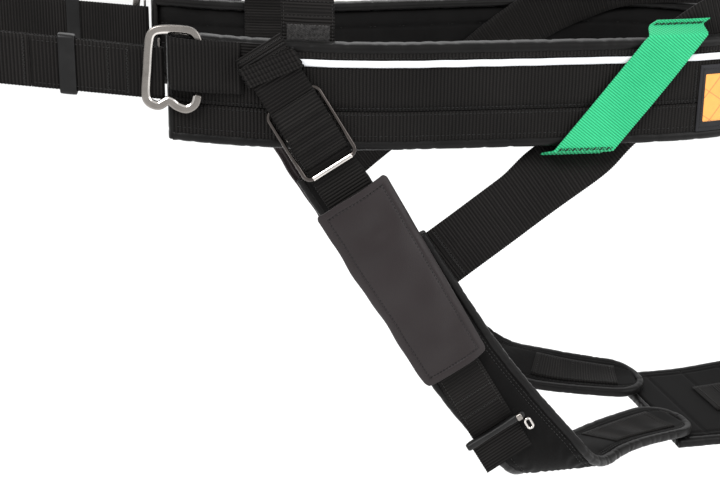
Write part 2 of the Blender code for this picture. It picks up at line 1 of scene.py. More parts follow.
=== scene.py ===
import bisect
import logging
import math
import random
from dataclasses import dataclass, field
from enum import Enum
from typing import Callable, Sequence

import bmesh
import bpy
from mathutils import Matrix, Vector


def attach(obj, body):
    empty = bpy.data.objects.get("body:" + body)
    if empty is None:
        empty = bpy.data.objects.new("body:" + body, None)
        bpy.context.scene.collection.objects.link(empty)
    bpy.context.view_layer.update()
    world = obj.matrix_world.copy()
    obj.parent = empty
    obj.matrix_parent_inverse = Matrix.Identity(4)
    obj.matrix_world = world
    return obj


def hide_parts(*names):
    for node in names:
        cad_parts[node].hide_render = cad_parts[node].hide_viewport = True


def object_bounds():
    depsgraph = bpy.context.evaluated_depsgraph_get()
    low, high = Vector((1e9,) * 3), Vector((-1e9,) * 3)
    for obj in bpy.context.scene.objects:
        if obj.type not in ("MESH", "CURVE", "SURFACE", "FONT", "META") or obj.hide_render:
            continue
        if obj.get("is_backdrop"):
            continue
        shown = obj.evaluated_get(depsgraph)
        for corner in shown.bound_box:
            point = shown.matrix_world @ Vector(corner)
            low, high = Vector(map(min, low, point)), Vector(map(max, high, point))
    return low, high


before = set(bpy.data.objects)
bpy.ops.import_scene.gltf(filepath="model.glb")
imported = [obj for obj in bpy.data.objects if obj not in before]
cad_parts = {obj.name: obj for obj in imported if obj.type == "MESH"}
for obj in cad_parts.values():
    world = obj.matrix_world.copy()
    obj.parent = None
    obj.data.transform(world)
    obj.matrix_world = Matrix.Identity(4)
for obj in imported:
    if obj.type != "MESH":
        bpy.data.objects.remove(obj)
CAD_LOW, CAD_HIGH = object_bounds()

LOG = logging.getLogger("saddle")
HARNESS = "harness"
SIDES = (("left", -1.0), ("right", 1.0))

THREAD_COVER = 0.72             # share of each needle gap that the thread covers
MERGE_DISTANCE = 0.000004
AIR_PRESSURE = 4.0
AIR_FRAMES = 20
AIR_CAP = 0.22                  # most that air moves a point, as a share of the thickness

Place = Callable[[float, float, float], Vector]


def clamp(value: float) -> float:
    """A value held between 0 and 1."""
    return min(max(value, 0.0), 1.0)


def ease(share: float) -> float:
    """A soft start and a soft end between 0 and 1."""
    return share * share * (3 - 2 * share)


# ---- finishes -----------------------------------------------------------------------------
class Sketch:
    """A short way to write a material's node tree."""

    def __init__(self, name: str) -> None:
        """Starts a material with its Principled shader."""
        self.material = bpy.data.materials.new(name)
        self.material.use_nodes = True
        self.tree = self.material.node_tree
        self.shader = self.tree.nodes["Principled BSDF"]

    def node(self, kind: str, **values: object) -> bpy.types.Node:
        """Adds a node and sets its properties."""
        made = self.tree.nodes.new(kind)
        for key, value in values.items():
            setattr(made, key, value)
        return made

    def link(self, out: object, into: object) -> None:
        """Joins an output to an input."""
        self.tree.links.new(out, into)

    def math(self, operation: str, *inputs: object) -> object:
        """Adds a Math node; inputs are numbers or sockets. Returns its output."""
        made = self.node("ShaderNodeMath", operation=operation)
        for socket, value in zip(made.inputs, inputs):
            if isinstance(value, (int, float)):
                socket.default_value = value
            else:
                self.link(value, socket)
        return made.outputs[0]

    def wave(self, coordinate: object, period: float, phase: float = 0.0) -> object:
        """A cosine of a coordinate in metres, from -1 to 1."""
        turned = self.math("MULTIPLY_ADD", coordinate, 2.0 * math.pi / period, phase)
        return self.math("COSINE", turned)

    def noise(self, scale: float, detail: float = 3.0, vector: object = None) -> object:
        """Noise on Object coordinates, from 0 to 1."""
        made = self.node("ShaderNodeTexNoise")
        made.inputs["Scale"].default_value = scale
        made.inputs["Detail"].default_value = detail
        if vector is None:
            vector = self.node("ShaderNodeTexCoord").outputs["Object"]
        self.link(vector, made.inputs["Vector"])
        return made.outputs["Fac"]

    def ramp(self, factor: object, stops: Sequence[tuple[float, Sequence[float]]]) -> object:
        """A colour ramp with the given stops. Returns its colour."""
        made = self.node("ShaderNodeValToRGB")
        bar = made.color_ramp
        while len(bar.elements) < len(stops):
            bar.elements.new(0.5)
        for element, (place, colour) in zip(bar.elements, stops):
            element.position = place
            element.color = (*colour, 1.0)
        self.link(factor, made.inputs["Fac"])
        return made.outputs["Color"]

    def bump(self, height: object, distance: float, strength: float = 1.0) -> None:
        """Bump from a height into the shader's normal."""
        made = self.node("ShaderNodeBump")
        made.inputs["Distance"].default_value = distance
        made.inputs["Strength"].default_value = strength
        self.link(height, made.inputs["Height"])
        self.link(made.outputs["Normal"], self.shader.inputs["Normal"])

    def flat_uv(self) -> tuple[object, object]:
        """The piece's own distances along and across it, in metres."""
        parts = self.node("ShaderNodeSeparateXYZ")
        self.link(self.node("ShaderNodeUVMap", uv_map="flat").outputs["UV"], parts.inputs[0])
        return parts.outputs["X"], parts.outputs["Y"]

    def set(self, **values: float) -> None:
        """Sets sockets of the shader; an underscore in a key stands for a space."""
        for key, value in values.items():
            self.shader.inputs[key.replace("_", " ")].default_value = value


@dataclass(frozen=True)
class WovenFinish:
    """Webbing: ribs across the strap, fine yarns along it, a little fuzz."""

    name: str
    dark: tuple[float, float, float]
    light: tuple[float, float, float]
    rib: float = 0.0026
    yarn: float = 0.0011
    wander: float = 0.0007
    roughness: float = 0.62
    sheen: float = 0.03

    def build(self) -> bpy.types.Material:
        """Builds the material."""
        sketch = Sketch(self.name)
        along, across = sketch.flat_uv()
        wobble = sketch.math("MULTIPLY", sketch.noise(55.0, 2.0), self.wander)
        ribs = sketch.wave(sketch.math("ADD", along, wobble), self.rib)
        yarns = sketch.wave(across, self.yarn)
        shift = sketch.wave(along, 2.0 * self.rib)
        cross = sketch.math("MULTIPLY", yarns, shift)
        fuzz = sketch.noise(900.0, 2.0)
        height = sketch.math("MULTIPLY_ADD", cross, 0.22, sketch.math("MULTIPLY", ribs, 0.55))
        height = sketch.math("MULTIPLY_ADD", fuzz, 0.35, height)
        patch = sketch.math("MULTIPLY", sketch.noise(14.0, 3.0), 0.35)
        # The colour follows the woven height: lighter rib ridges are a painted highlight and
        # darker valleys are painted shade; the fuzz and patch noise add random tone.
        tone = sketch.math("MULTIPLY_ADD", height, 0.42, 0.36)
        tone = sketch.math("ADD", tone, sketch.math("SUBTRACT", patch, 0.16))
        middle = tuple(0.32 * a + 0.68 * b for a, b in zip(self.light, self.dark))
        colour = sketch.ramp(tone, [(0.05, self.dark), (0.52, middle), (1.0, self.light)])
        sketch.link(colour, sketch.shader.inputs["Base Color"])
        rough = sketch.math("MULTIPLY_ADD", fuzz, 0.2, self.roughness - 0.1)
        sketch.link(rough, sketch.shader.inputs["Roughness"])
        sketch.set(Sheen_Weight=self.sheen, Sheen_Roughness=0.45)
        sketch.set(Specular_IOR_Level=0.06)
        sketch.bump(height, 0.00028, 0.8)
        return sketch.material


@dataclass(frozen=True)
class ClothFinish:
    """Plain woven or brushed cloth on Object coordinates."""

    name: str
    dark: tuple[float, float, float]
    light: tuple[float, float, float]
    grain: float = 900.0
    mottle: float = 30.0
    roughness: float = 0.75
    sheen: float = 0.03
    depth: float = 0.00012
    gloss: float = 0.07

    def build(self) -> bpy.types.Material:
        """Builds the material."""
        sketch = Sketch(self.name)
        grain = sketch.noise(self.grain, 2.0)
        mottle = sketch.noise(self.mottle, 4.0)
        spots = sketch.node("ShaderNodeTexVoronoi")
        spots.inputs["Scale"].default_value = self.grain * 0.9
        place = sketch.node("ShaderNodeTexCoord").outputs["Object"]
        sketch.link(place, spots.inputs["Vector"])
        height = sketch.math("ADD", grain, sketch.math("MULTIPLY", spots.outputs[0], 0.5))
        tone = sketch.math("MULTIPLY_ADD", mottle, 0.7, sketch.math("MULTIPLY", grain, 0.3))
        colour = sketch.ramp(tone, [(0.25, self.dark), (0.75, self.light)])
        sketch.link(colour, sketch.shader.inputs["Base Color"])
        rough = sketch.math("MULTIPLY_ADD", mottle, 0.18, self.roughness - 0.09)
        sketch.link(rough, sketch.shader.inputs["Roughness"])
        sketch.set(Sheen_Weight=self.sheen, Sheen_Roughness=0.4)
        sketch.set(Specular_IOR_Level=self.gloss)
        sketch.bump(height, self.depth, 0.7)
        return sketch.material


@dataclass(frozen=True)
class MetalFinish:
    """Steel with faint tumbling marks."""

    name: str
    colour: tuple[float, float, float]
    roughness: float
    depth: float = 0.00003

    def build(self) -> bpy.types.Material:
        """Builds the material."""
        sketch = Sketch(self.name)
        marks = sketch.noise(420.0, 5.0)
        clouds = sketch.noise(60.0, 3.0)
        dull = tuple(c * 0.72 for c in self.colour)
        colour = sketch.ramp(clouds, [(0.3, dull), (0.7, self.colour)])
        sketch.link(colour, sketch.shader.inputs["Base Color"])
        rough = sketch.math("MULTIPLY_ADD", marks, 0.16, self.roughness - 0.06)
        sketch.link(rough, sketch.shader.inputs["Roughness"])
        sketch.set(Metallic=1.0)
        sketch.bump(marks, self.depth, 0.6)
        return sketch.material


@dataclass(frozen=True)
class PanelFinish:
    """Woven label panel with faint crossing lines."""

    name: str
    colour: tuple[float, float, float]
    line: tuple[float, float, float]

    def build(self) -> bpy.types.Material:
        """Builds the material."""
        sketch = Sketch(self.name)
        along, across = sketch.flat_uv()
        slant = sketch.math("MULTIPLY_ADD", across, 0.8, along)
        counter = sketch.math("MULTIPLY_ADD", across, -1.6, along)
        first = sketch.math("GREATER_THAN", sketch.wave(slant, 0.021), 0.985)
        second = sketch.math("GREATER_THAN", sketch.wave(counter, 0.034), 0.992)
        lines = sketch.math("MAXIMUM", first, second)
        threads = sketch.math("MULTIPLY", sketch.wave(along, 0.0007), sketch.wave(across, 0.0007))
        soft = sketch.math("MULTIPLY_ADD", sketch.noise(200.0, 2.0), 0.3, 0.0)
        tone = sketch.math("MAXIMUM", sketch.math("MULTIPLY", lines, 0.8), soft)
        colour = sketch.ramp(tone, [(0.0, self.colour), (1.0, self.line)])
        sketch.link(colour, sketch.shader.inputs["Base Color"])
        sketch.set(Roughness=0.6, Sheen_Weight=0.2)
        sketch.bump(threads, 0.00008, 0.6)
        return sketch.material


@dataclass(frozen=True)
class PlasticFinish:
    """Moulded plastic with a fine spark texture."""

    name: str
    colour: tuple[float, float, float]
    roughness: float = 0.42

    def build(self) -> bpy.types.Material:
        """Builds the material."""
        sketch = Sketch(self.name)
        grain = sketch.noise(1100.0, 2.0)
        wear = sketch.noise(70.0, 4.0)
        worn = tuple(c * 1.8 + 0.001 for c in self.colour)
        colour = sketch.ramp(wear, [(0.45, self.colour), (0.8, worn)])
        sketch.link(colour, sketch.shader.inputs["Base Color"])
        rough = sketch.math("MULTIPLY_ADD", wear, 0.15, self.roughness - 0.07)
        sketch.link(rough, sketch.shader.inputs["Roughness"])
        sketch.set(Specular_IOR_Level=0.22)
        sketch.bump(grain, 0.00003, 0.5)
        return sketch.material


class Stuff(Enum):
    """Every finish on the saddle, with the material slot it stands for."""

    WEB = (WovenFinish("webbing_black", (0.0008, 0.0007, 0.0007), (0.020, 0.0182, 0.0172)), "web")
    BELT_WEB = (WovenFinish("belt_facing_black", (0.0008, 0.0007, 0.0007),
                            (0.018, 0.0164, 0.0155), rib=0.0027, yarn=0.0016), "web")
    GREEN = (WovenFinish("webbing_green", (0.002, 0.17, 0.065), (0.075, 0.70, 0.32),
                         rib=0.0019, wander=0.00004, roughness=0.5, sheen=0.05), "green")
    PAD = (ClothFinish("pad_nylon", (0.0012, 0.0011, 0.0011), (0.0050, 0.0047, 0.0046)), "pad")
    BINDING = (ClothFinish("binding_nylon", (0.0018, 0.0017, 0.0017), (0.0065, 0.0060, 0.0058),
                           grain=1400.0, roughness=0.40, sheen=0.02, gloss=0.12), "binding")
    COVER = (ClothFinish("cover_softshell", (0.0095, 0.0066, 0.0070), (0.0170, 0.0126, 0.0132),
                         grain=1300.0, mottle=12.0, roughness=0.46, sheen=0.06,
                        gloss=0.22), "cover")
    THREAD = (ClothFinish("thread_black", (0.003, 0.003, 0.003), (0.02, 0.02, 0.02),
                          grain=2500.0, roughness=0.5, sheen=0.1), "web")
    THREAD_GREY = (ClothFinish("thread_grey", (0.008, 0.0078, 0.0078), (0.032, 0.031, 0.030),
                               grain=2500.0, roughness=0.5, sheen=0.1), "web")
    # Rail steel: its very low base colour is a painted dark reflection, not a darker metal.
    RAIL = (MetalFinish("steel_painted_dark_reflection", (0.085, 0.075, 0.07), 0.16, 0.00001), "steel")
    STRIPE = (ClothFinish("stripe_reflective", (0.52, 0.53, 0.55), (0.70, 0.71, 0.73),
                          grain=1600.0, roughness=0.35, sheen=0.0, depth=0.00005), "stripe")
    STEEL = (MetalFinish("steel_satin", (0.25, 0.232, 0.215), 0.26), "steel")
    # Polished steel: its base colour, far brighter than the satin steel's, is polish plus a
    # painted highlight.
    POLISHED = (MetalFinish("steel_polished_and_highlight", (0.62, 0.59, 0.56), 0.12, 0.00001), "steel")
    MOULDED = (PlasticFinish("moulded_black", (0.0035, 0.0034, 0.0034)), "moulded")
    LABEL = (ClothFinish("label_grey", (0.010, 0.010, 0.011), (0.030, 0.030, 0.033),
                         grain=1500.0, roughness=0.6), "label")
    PANEL = (PanelFinish("panel_orange", (0.90, 0.36, 0.055), (0.35, 0.12, 0.03)), "panel")
    PILE = (ClothFinish("pile_fuzz", (0.004, 0.004, 0.004), (0.050, 0.048, 0.047),
                        grain=700.0, mottle=500.0, roughness=0.95, sheen=0.25,
                        depth=0.0006), "loop_pile")

    @property
    def slot(self) -> str:
        """The record's material slot."""
        return self.value[1]

    def material(self) -> bpy.types.Material:
        """The material, built once."""
        made = bpy.data.materials.get(self.value[0].name)
        return made or self.value[0].build()


# ---- surfaces that the pieces lie on ------------------------------------------------------
@dataclass(frozen=True)
class BeltSurface:
    """The middle surface of the padded belt, the same on both sides."""

    front_x: float = -0.234
    straight_x: float = 0.130
    back_x: float = 0.292
    half_width: float = 0.136
    taper: float = 0.024
    taper_power: float = 1.3
    power: float = 2.4
    front_rise: float = 0.012
    rise_from: float = -0.050
    outline: list[Vector] = field(default_factory=list)
    marks: list[float] = field(default_factory=list)

    def __post_init__(self) -> None:
        """Works out the outline of one side once."""
        run, power = self.back_x - self.straight_x, 2.0 / self.power
        for i in range(121):
            angle = math.radians(90.0 * i / 120)
            self.outline.append(Vector((self.straight_x + run * math.cos(angle) ** power,
                                        self.half_width * math.sin(angle) ** power)))
        for i in range(1, 121):
            share = i / 120
            x = self.straight_x + (self.front_x - self.straight_x) * share
            half = self.half_width - self.taper * share ** self.taper_power
            self.outline.append(Vector((x, half)))
        self.marks.append(0.0)
        for a, b in zip(self.outline, self.outline[1:]):
            self.marks.append(self.marks[-1] + (b - a).length)

    @property
    def length(self) -> float:
        """Half of the padded belt's length."""
        return self.marks[-1]

    def arc_at(self, x: float) -> float:
        """Distance from the back's middle to the place with this x."""
        if x < self.front_x:
            return self.length + (self.front_x - x) * 1.006
        low = bisect.bisect_left([-p.x for p in self.outline], -x)
        low = min(max(low, 1), len(self.outline) - 1)
        a, b = self.outline[low - 1], self.outline[low]
        share = (a.x - x) / max(a.x - b.x, 1e-9)
        return self.marks[low - 1] + share * (self.marks[low] - self.marks[low - 1])

    def frame(self, arc: float) -> tuple[Vector, Vector]:
        """Place and outward direction in plan, on the +Y side."""
        if arc >= self.length:
            along = (self.outline[-1] - self.outline[-2]).normalized()
            return self.outline[-1] + along * (arc - self.length), Vector((along.y, -along.x))
        i = min(max(bisect.bisect_right(self.marks, arc) - 1, 0), len(self.marks) - 2)
        share = (arc - self.marks[i]) / (self.marks[i + 1] - self.marks[i])
        last = len(self.outline) - 1
        low = (self.outline[min(i + 1, last)] - self.outline[max(i - 1, 0)]).normalized()
        high = (self.outline[min(i + 2, last)] - self.outline[i]).normalized()
        if i == 0:
            low = Vector((0.0, 1.0))
        along = low.lerp(high, share).normalized()
        place = self.outline[i].lerp(self.outline[i + 1], share)
        return place, Vector((along.y, -along.x))

    def rise(self, x: float) -> float:
        """How much higher the belt stands at x."""
        share = (self.rise_from - x) / (self.rise_from - self.front_x)
        return self.front_rise * min(max(share, 0.0), 1.3) ** 2

    def point(self, arc: float, offset: float, z: float, side: float) -> Vector:
        """World point: arc from the back, offset outwards, height z."""
        place, out = self.frame(abs(arc))
        flip = side * (1.0 if arc >= 0.0 else -1.0)
        x, y = place.x + out.x * offset, place.y + out.y * offset
        return Vector((x, y * flip, z + self.rise(x)))


@dataclass(frozen=True)
class LegLine:
    """The straight leg strap: s down it, w across it, n outwards."""

    origin: tuple[float, float, float] = (-0.172, 0.1330, 0.0430)
    direction: tuple[float, float, float] = (0.512, 0.055, -0.859)

    def axes(self, side: float) -> tuple[Vector, Vector, Vector, Vector]:
        """Origin, along, across and outward directions."""
        origin = Vector((self.origin[0], self.origin[1] * side, self.origin[2]))
        dx, dy, dz = self.direction
        along = Vector((dx, dy * side, dz)).normalized()
        across = Vector((-dz, 0.0, dx)).normalized()
        out = along.cross(across)
        return origin, along, across, out * (1.0 if out.y * side > 0 else -1.0)

    def point(self, s: float, w: float, n: float, side: float) -> Vector:
        """World point on or near the strap."""
        origin, along, across, out = self.axes(side)
        return origin + along * s + across * w + out * n


class Route:
    """A smooth curve through a few flat points, read by distance along it."""

    def __init__(self, points: Sequence[Sequence[float]], smooth: bool = True) -> None:
        """Spreads points along the curve."""
        flat = [Vector((p[0], p[1])) for p in points]
        dense: list[Vector] = []
        last = len(flat)
        steps = 12 if smooth else 1
        for i in range(last - 1):
            p = [flat[min(max(i + k, 0), last - 1)] for k in (-1, 0, 1, 2)]
            for step in range(steps):
                t = step / steps
                dense.append(0.5 * (2 * p[1] + (p[2] - p[0]) * t
                                    + (2 * p[0] - 5 * p[1] + 4 * p[2] - p[3]) * t ** 2
                                    + (3 * p[1] - p[0] - 3 * p[2] + p[3]) * t ** 3))
        dense.append(flat[-1])
        self.points = dense
        self.marks = [0.0]
        for a, b in zip(dense, dense[1:]):
            self.marks.append(self.marks[-1] + (b - a).length)

    @property
    def length(self) -> float:
        """Length of the curve."""
        return self.marks[-1]

    def at(self, s: float) -> Vector:
        """Point at a distance along the curve, straight on past its ends."""
        i = min(max(bisect.bisect_right(self.marks, s) - 1, 0), len(self.marks) - 2)
        run = self.marks[i + 1] - self.marks[i]
        return self.points[i].lerp(self.points[i + 1], (s - self.marks[i]) / run)

    def normal(self, s: float, reach: float = 0.0012) -> Vector:
        """Direction to the left of travel."""
        along = (self.at(min(s + reach, self.length)) - self.at(max(s - reach, 0.0))).normalized()
        return Vector((-along.y, along.x))


@dataclass(frozen=True)
class BandSurface:
    """The padded leg band: a flat pattern that turns under the thigh."""

    leg: LegLine
    depth: float = 0.0072
    fold_z: float = -0.295
    radius: float = 0.035
    sag: float = 0.012
    sag_run: float = 0.066
    route: Route = field(default_factory=lambda: Route(
        [(-0.0690, -0.1230), (-0.0470, -0.1580), (-0.0090, -0.2160), (0.0260, -0.2620),
         (0.0650, -0.3080), (0.0920, -0.3400), (0.1230, -0.3690), (0.1590, -0.3910),
         (0.2000, -0.4080), (0.2430, -0.4220)]))

    def point(self, s: float, w: float, n: float, side: float) -> Vector:
        """World point: s along the band, w across it, n outwards."""
        flat = self.route.at(s) + self.route.normal(s, 0.005) * w
        lean = self.leg.direction[1] / -self.leg.direction[2]
        outer = self.leg.origin[1] - self.depth
        below = self.fold_z - flat.y
        if below <= 0.0:
            y = outer + (self.leg.origin[2] - flat.y) * lean + n
            return Vector((flat.x, y * side, flat.y))
        middle = outer + (self.leg.origin[2] - self.fold_z) * lean - self.radius
        turn, reach = below / self.radius, self.radius + n
        if turn < math.pi / 2:
            return Vector((flat.x, (middle + reach * math.cos(turn)) * side,
                           self.fold_z - reach * math.sin(turn)))
        past = below - self.radius * math.pi / 2
        drop = self.sag * ease(min(past / self.sag_run, 1.0))
        return Vector((flat.x, (middle - past) * side, self.fold_z - reach - drop))


@dataclass(frozen=True)
class FrontLine:
    """Frame of a hook and its front strap: u forwards, v up, n outwards."""

    belt: BeltSurface
    hook_x: float = -0.2135
    offset: float = 0.0134
    slope: float = 0.118
    middle: float = 0.0237
    pin_n: float = -0.0056

    def point(self, u: float, v: float, n: float, side: float) -> Vector:
        """World point near the hook or the strap."""
        _, out = self.belt.frame(self.belt.length)
        hinge = self.belt.frame(self.belt.arc_at(self.hook_x))[0]
        forward = Vector((-abs(out.y), -abs(out.x))).normalized()
        x = hinge.x + forward.x * u + out.x * (n + self.offset)
        y = hinge.y + forward.y * u + out.y * (n + self.offset)
        return Vector((x, y * side, v))

    def height(self, u: float) -> float:
        """Height of the strap's middle line."""
        return self.middle + self.slope * (u - 0.036)


BELT = BeltSurface()
LEG = LegLine()
BAND = BandSurface(LEG)
FRONT = FrontLine(BELT)


# ---- how pieces are made ------------------------------------------------------------------
def finish_object(name: str, bm: bmesh.types.BMesh, stuff: Stuff, body: str,
                  replaced: Sequence[str] = ()) -> bpy.types.Object:
    """Turns a bmesh into a piece of the saddle.

    Args:
        name: the piece's name.
        bm: its shape, in world metres.
        stuff: its finish.
        body: the body it rides on.
        replaced: the plain solids it stands for.

    Returns:
        The new object.
    """
    mesh = bpy.data.meshes.new(name)
    for face in bm.faces:
        face.smooth = True
    bm.to_mesh(mesh)
    bm.free()
    mesh.materials.append(stuff.material())
    made = bpy.data.objects.new(name, mesh)
    bpy.context.scene.collection.objects.link(made)
    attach(made, body)
    stuff.slot
    if replaced:
        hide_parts(*replaced)
    LOG.info("%s: %d faces on %s", name, len(mesh.polygons), body)
    return made


def flat_grid(count: int, cross: int, length: float, width: float) -> bmesh.types.BMesh:
    """A unit grid whose UVs are its flat sizes in metres."""
    bm = bmesh.new()
    bmesh.ops.create_grid(bm, x_segments=count, y_segments=cross, size=0.5)
    uv = bm.loops.layers.uv.new("flat")
    for face in bm.faces:
        for loop in face.loops:
            co = loop.vert.co
            loop[uv].uv = ((co.x + 0.5) * length, (co.y + 0.5) * width)
    return bm


def grid_piece(count: int, cross: int, length: float, width: float, place: Place,
               shape: Callable[[float, float], tuple[float, float]]) -> bmesh.types.BMesh:
    """A grid laid out flat, with its flat sizes as UVs, then bent into place.

    Args:
        count: segments along it.
        cross: segments across it.
        length: flat length.
        width: flat width.
        place: turns (along, across, height) into a world point.
        shape: gives the change of width and the height at (along, across).

    Returns:
        The bent grid.
    """
    bm = flat_grid(count, cross, length, width)
    for vert in bm.verts:
        s, w = (vert.co.x + 0.5) * length, vert.co.y * width
        wider, height = shape(s, w)
        vert.co = place(s, w * wider, height)
    return bm


def solidify(made: bpy.types.Object, thickness: float) -> None:
    """A Solidify modifier centred on the sheet."""
    solid = made.modifiers.new("thickness", "SOLIDIFY")
    solid.thickness = thickness
    solid.offset = 0.0
    solid.use_even_offset = True


def bevel(made: bpy.types.Object, width: float, segments: int) -> None:
    """A Bevel modifier on sharp edges."""
    edge = made.modifiers.new("edges", "BEVEL")
    edge.width = width
    edge.segments = segments
    edge.limit_method = "ANGLE"
    edge.angle_limit = math.radians(50)


@dataclass
class Webbing:
    """A woven strap with raised ribs and a scalloped selvedge."""

    name: str
    length: float
    width: float
    body: str
    stuff: Stuff = Stuff.WEB
    replaced: Sequence[str] = ()
    rib: float = 0.0026
    rib_height: float = 0.00024
    scallop: float = 0.0002
    thickness: float = 0.0016
    cross: int = 8
    steps: int = 4
    slack: float = 0.0

    def shape(self, s: float, w: float) -> tuple[float, float]:
        """Change of width and height of the ribbed cloth at a place."""
        swing = math.cos(2.0 * math.pi * s / self.rib)
        edge = abs(w) / (self.width / 2)
        wider = 1.0 + self.scallop / (self.width / 2) * swing * edge ** 6
        lift = self.rib_height * swing * (1.0 - 0.5 * edge ** 8)
        waves = math.sin(s * 41.0 + w * 30.0) + math.sin(s * 97.0 - w * 55.0 + 1.7)
        return wider, lift + self.slack * waves

    def build(self, place: Place) -> bpy.types.Object:
        """Weaves the strap along a surface."""
        count = max(4, round(self.length / self.rib * self.steps))
        bm = grid_piece(count, self.cross, self.length, self.width, place, self.shape)
        made = finish_object(self.name, bm, self.stuff, self.body, self.replaced)
        solidify(made, self.thickness)
        return made


Section = Callable[[float, float], tuple[float, float]]


def oval(half_w: float, half_h: float, power: float = 2.0) -> Section:
    """A section between an ellipse (power 2) and a rectangle (high power)."""
    def section(_: float, turn: float) -> tuple[float, float]:
        """Half sizes of the section of the oval at a place."""
        angle = 2.0 * math.pi * turn
        c, s = math.cos(angle), math.sin(angle)
        return (half_w * math.copysign(abs(c) ** (2.0 / power), c),
                half_h * math.copysign(abs(s) ** (2.0 / power), s))
    return section


def sweep(name: str, length: float, count: int, around: int, section: Section, place: Place,
          stuff: Stuff, body: str, replaced: Sequence[str] = (), closed: bool = False,
          girth: float = 0.03) -> bpy.types.Object:
    """A section carried along a path and closed at its ends, or into a ring.

    Args:
        name: the piece's name.
        length: length of the path.
        count: segments along the path.
        around: segments round the section.
        section: gives (across, height) for a distance along and a turn from 0 to 1.
        place: turns (along, across, height) into a world point.
        stuff: its finish.
        body: the body it rides on.
        replaced: the plain solids it stands for.
        closed: whether the path is a ring.
        girth: length round the section, for the UVs.

    Returns:
        The new object.
    """
    bm = flat_grid(count, around, length, girth)
    for vert in bm.verts:
        s, turn = (vert.co.x + 0.5) * length, vert.co.y + 0.5
        across, height = section(s, turn)
        vert.co = place(s, across, height)
    bmesh.ops.remove_doubles(bm, verts=bm.verts, dist=MERGE_DISTANCE)
    if not closed:
        rims = [e for e in bm.edges if e.is_boundary]
        bmesh.ops.holes_fill(bm, edges=rims, sides=0)
    bmesh.ops.recalc_face_normals(bm, faces=bm.faces)
    return finish_object(name, bm, stuff, body, replaced)


def stitches(name: str, rows: Sequence[Sequence[Vector]], body: str,
             stuff: Stuff = Stuff.THREAD, thick: float = 0.00032) -> bpy.types.Object:
    """A piece made of rows of needle holes, with one sewn stitch between neighbours."""
    bm = bmesh.new()
    for row in rows:
        for a, b in zip(row, row[1:]):
            run = b - a
            if run.length < 1e-6:
                continue
            turn = run.to_track_quat("X", "Z").to_matrix().to_4x4()
            size = Matrix.Diagonal((run.length * THREAD_COVER / 2, thick, thick, 1.0))
            matrix = Matrix.Translation((a + b) / 2) @ turn @ size
            bmesh.ops.create_icosphere(bm, subdivisions=1, radius=1.0, matrix=matrix)
    return finish_object(name, bm, stuff, body)


def line_points(start: float, end: float, step: float) -> list[float]:
    """Evenly spaced distances from start to end."""
    count = max(1, round(abs(end - start) / step))
    return [start + (end - start) * i / count for i in range(count + 1)]


def zigzag(start: float, end: float, half: float, step: float) -> list[tuple[float, float]]:
    """Needle holes of a zigzag row, as (along, swing)."""
    return [(s, half * (1 if i % 2 else -1))
            for i, s in enumerate(line_points(start, end, step))]


def soft_noise(seed: int) -> Callable[[float], float]:
    """A smooth, repeatable wobble of a distance, from about -1 to 1."""
    rng = random.Random(seed)
    waves = [(rng.uniform(0.4, 1.0), rng.uniform(20.0, 260.0), rng.uniform(0.0, 6.3))
             for _ in range(6)]
    total = sum(w[0] for w in waves)
    return lambda s: sum(a * math.sin(k * s + p) for a, k, p in waves) / total


def puff(made: bpy.types.Object, cap: float) -> None:
    """Swells an evenly meshed pad with air pressure, then keeps the result.

    Args:
        made: the pad, a closed mesh.
        cap: the most that a point may move.
    """
    base = made.data
    start = [v.co.copy() for v in base.vertices]
    cloth = made.modifiers.new("air", "CLOTH")
    cloth.settings.use_pressure = True
    cloth.settings.uniform_pressure_force = AIR_PRESSURE
    cloth.settings.effector_weights.gravity = 0.0
    cloth.settings.quality = 4
    for step in range(1, AIR_FRAMES + 1):
        bpy.context.scene.frame_set(step)
    dg = bpy.context.evaluated_depsgraph_get()
    swollen = bpy.data.meshes.new_from_object(made.evaluated_get(dg))
    moved = [v.co.copy() for v in swollen.vertices]
    made.modifiers.clear()
    bpy.data.meshes.remove(swollen)
    bpy.context.scene.frame_set(1)
    for vert, a, b in zip(base.vertices, start, moved):
        step = b - a
        if step.length > cap:
            step *= cap / step.length
        vert.co = a + step


# ---- more ways to make pieces --------------------------------------------------------------
class Loop(Route):
    """A closed route of straight steps between close points."""

    def __init__(self, points: Sequence[Sequence[float]]) -> None:
        """Joins the last point to the first."""
        super().__init__([*points, points[0]], smooth=False)

    def at(self, s: float) -> Vector:
        """Point at a distance round the loop."""
        return super().at(s % self.length)

    def normal(self, s: float, reach: float = 0.0006) -> Vector:
        """Direction to the left of travel."""
        along = (self.at(s + reach) - self.at(s - reach)).normalized()
        return Vector((-along.y, along.x))


def round_frame(half_s: float, half_w: float, radius: float, steps: int = 6) -> list[Vector]:
    """Points of a rounded rectangle."""
    points = []
    for quarter, (a, b) in enumerate(((1, 1), (-1, 1), (-1, -1), (1, -1))):
        for step in range(steps + 1):
            angle = math.radians(90 * quarter + 90 * step / steps)
            points.append(Vector((a * (half_s - radius) + radius * math.cos(angle),
                                  b * (half_w - radius) + radius * math.sin(angle))))
    return points


def bar_ring(name: str, points: Sequence[Vector], section: Section, place: Place,
             stuff: Stuff, body: str, replaced: Sequence[str] = (), count: int = 120,
             around: int = 12) -> bpy.types.Object:
    """A bar bent into a closed ring in a plane; place turns (x, y, height) into the world."""
    loop = Loop(points)

    def to_world(s: float, across: float, height: float) -> Vector:
        """World point on the bent bar."""
        spot = loop.at(s) + loop.normal(s) * across
        return place(spot.x, spot.y, height)
    return sweep(name, loop.length, count, around, section, to_world, stuff, body, replaced,
                 closed=True)


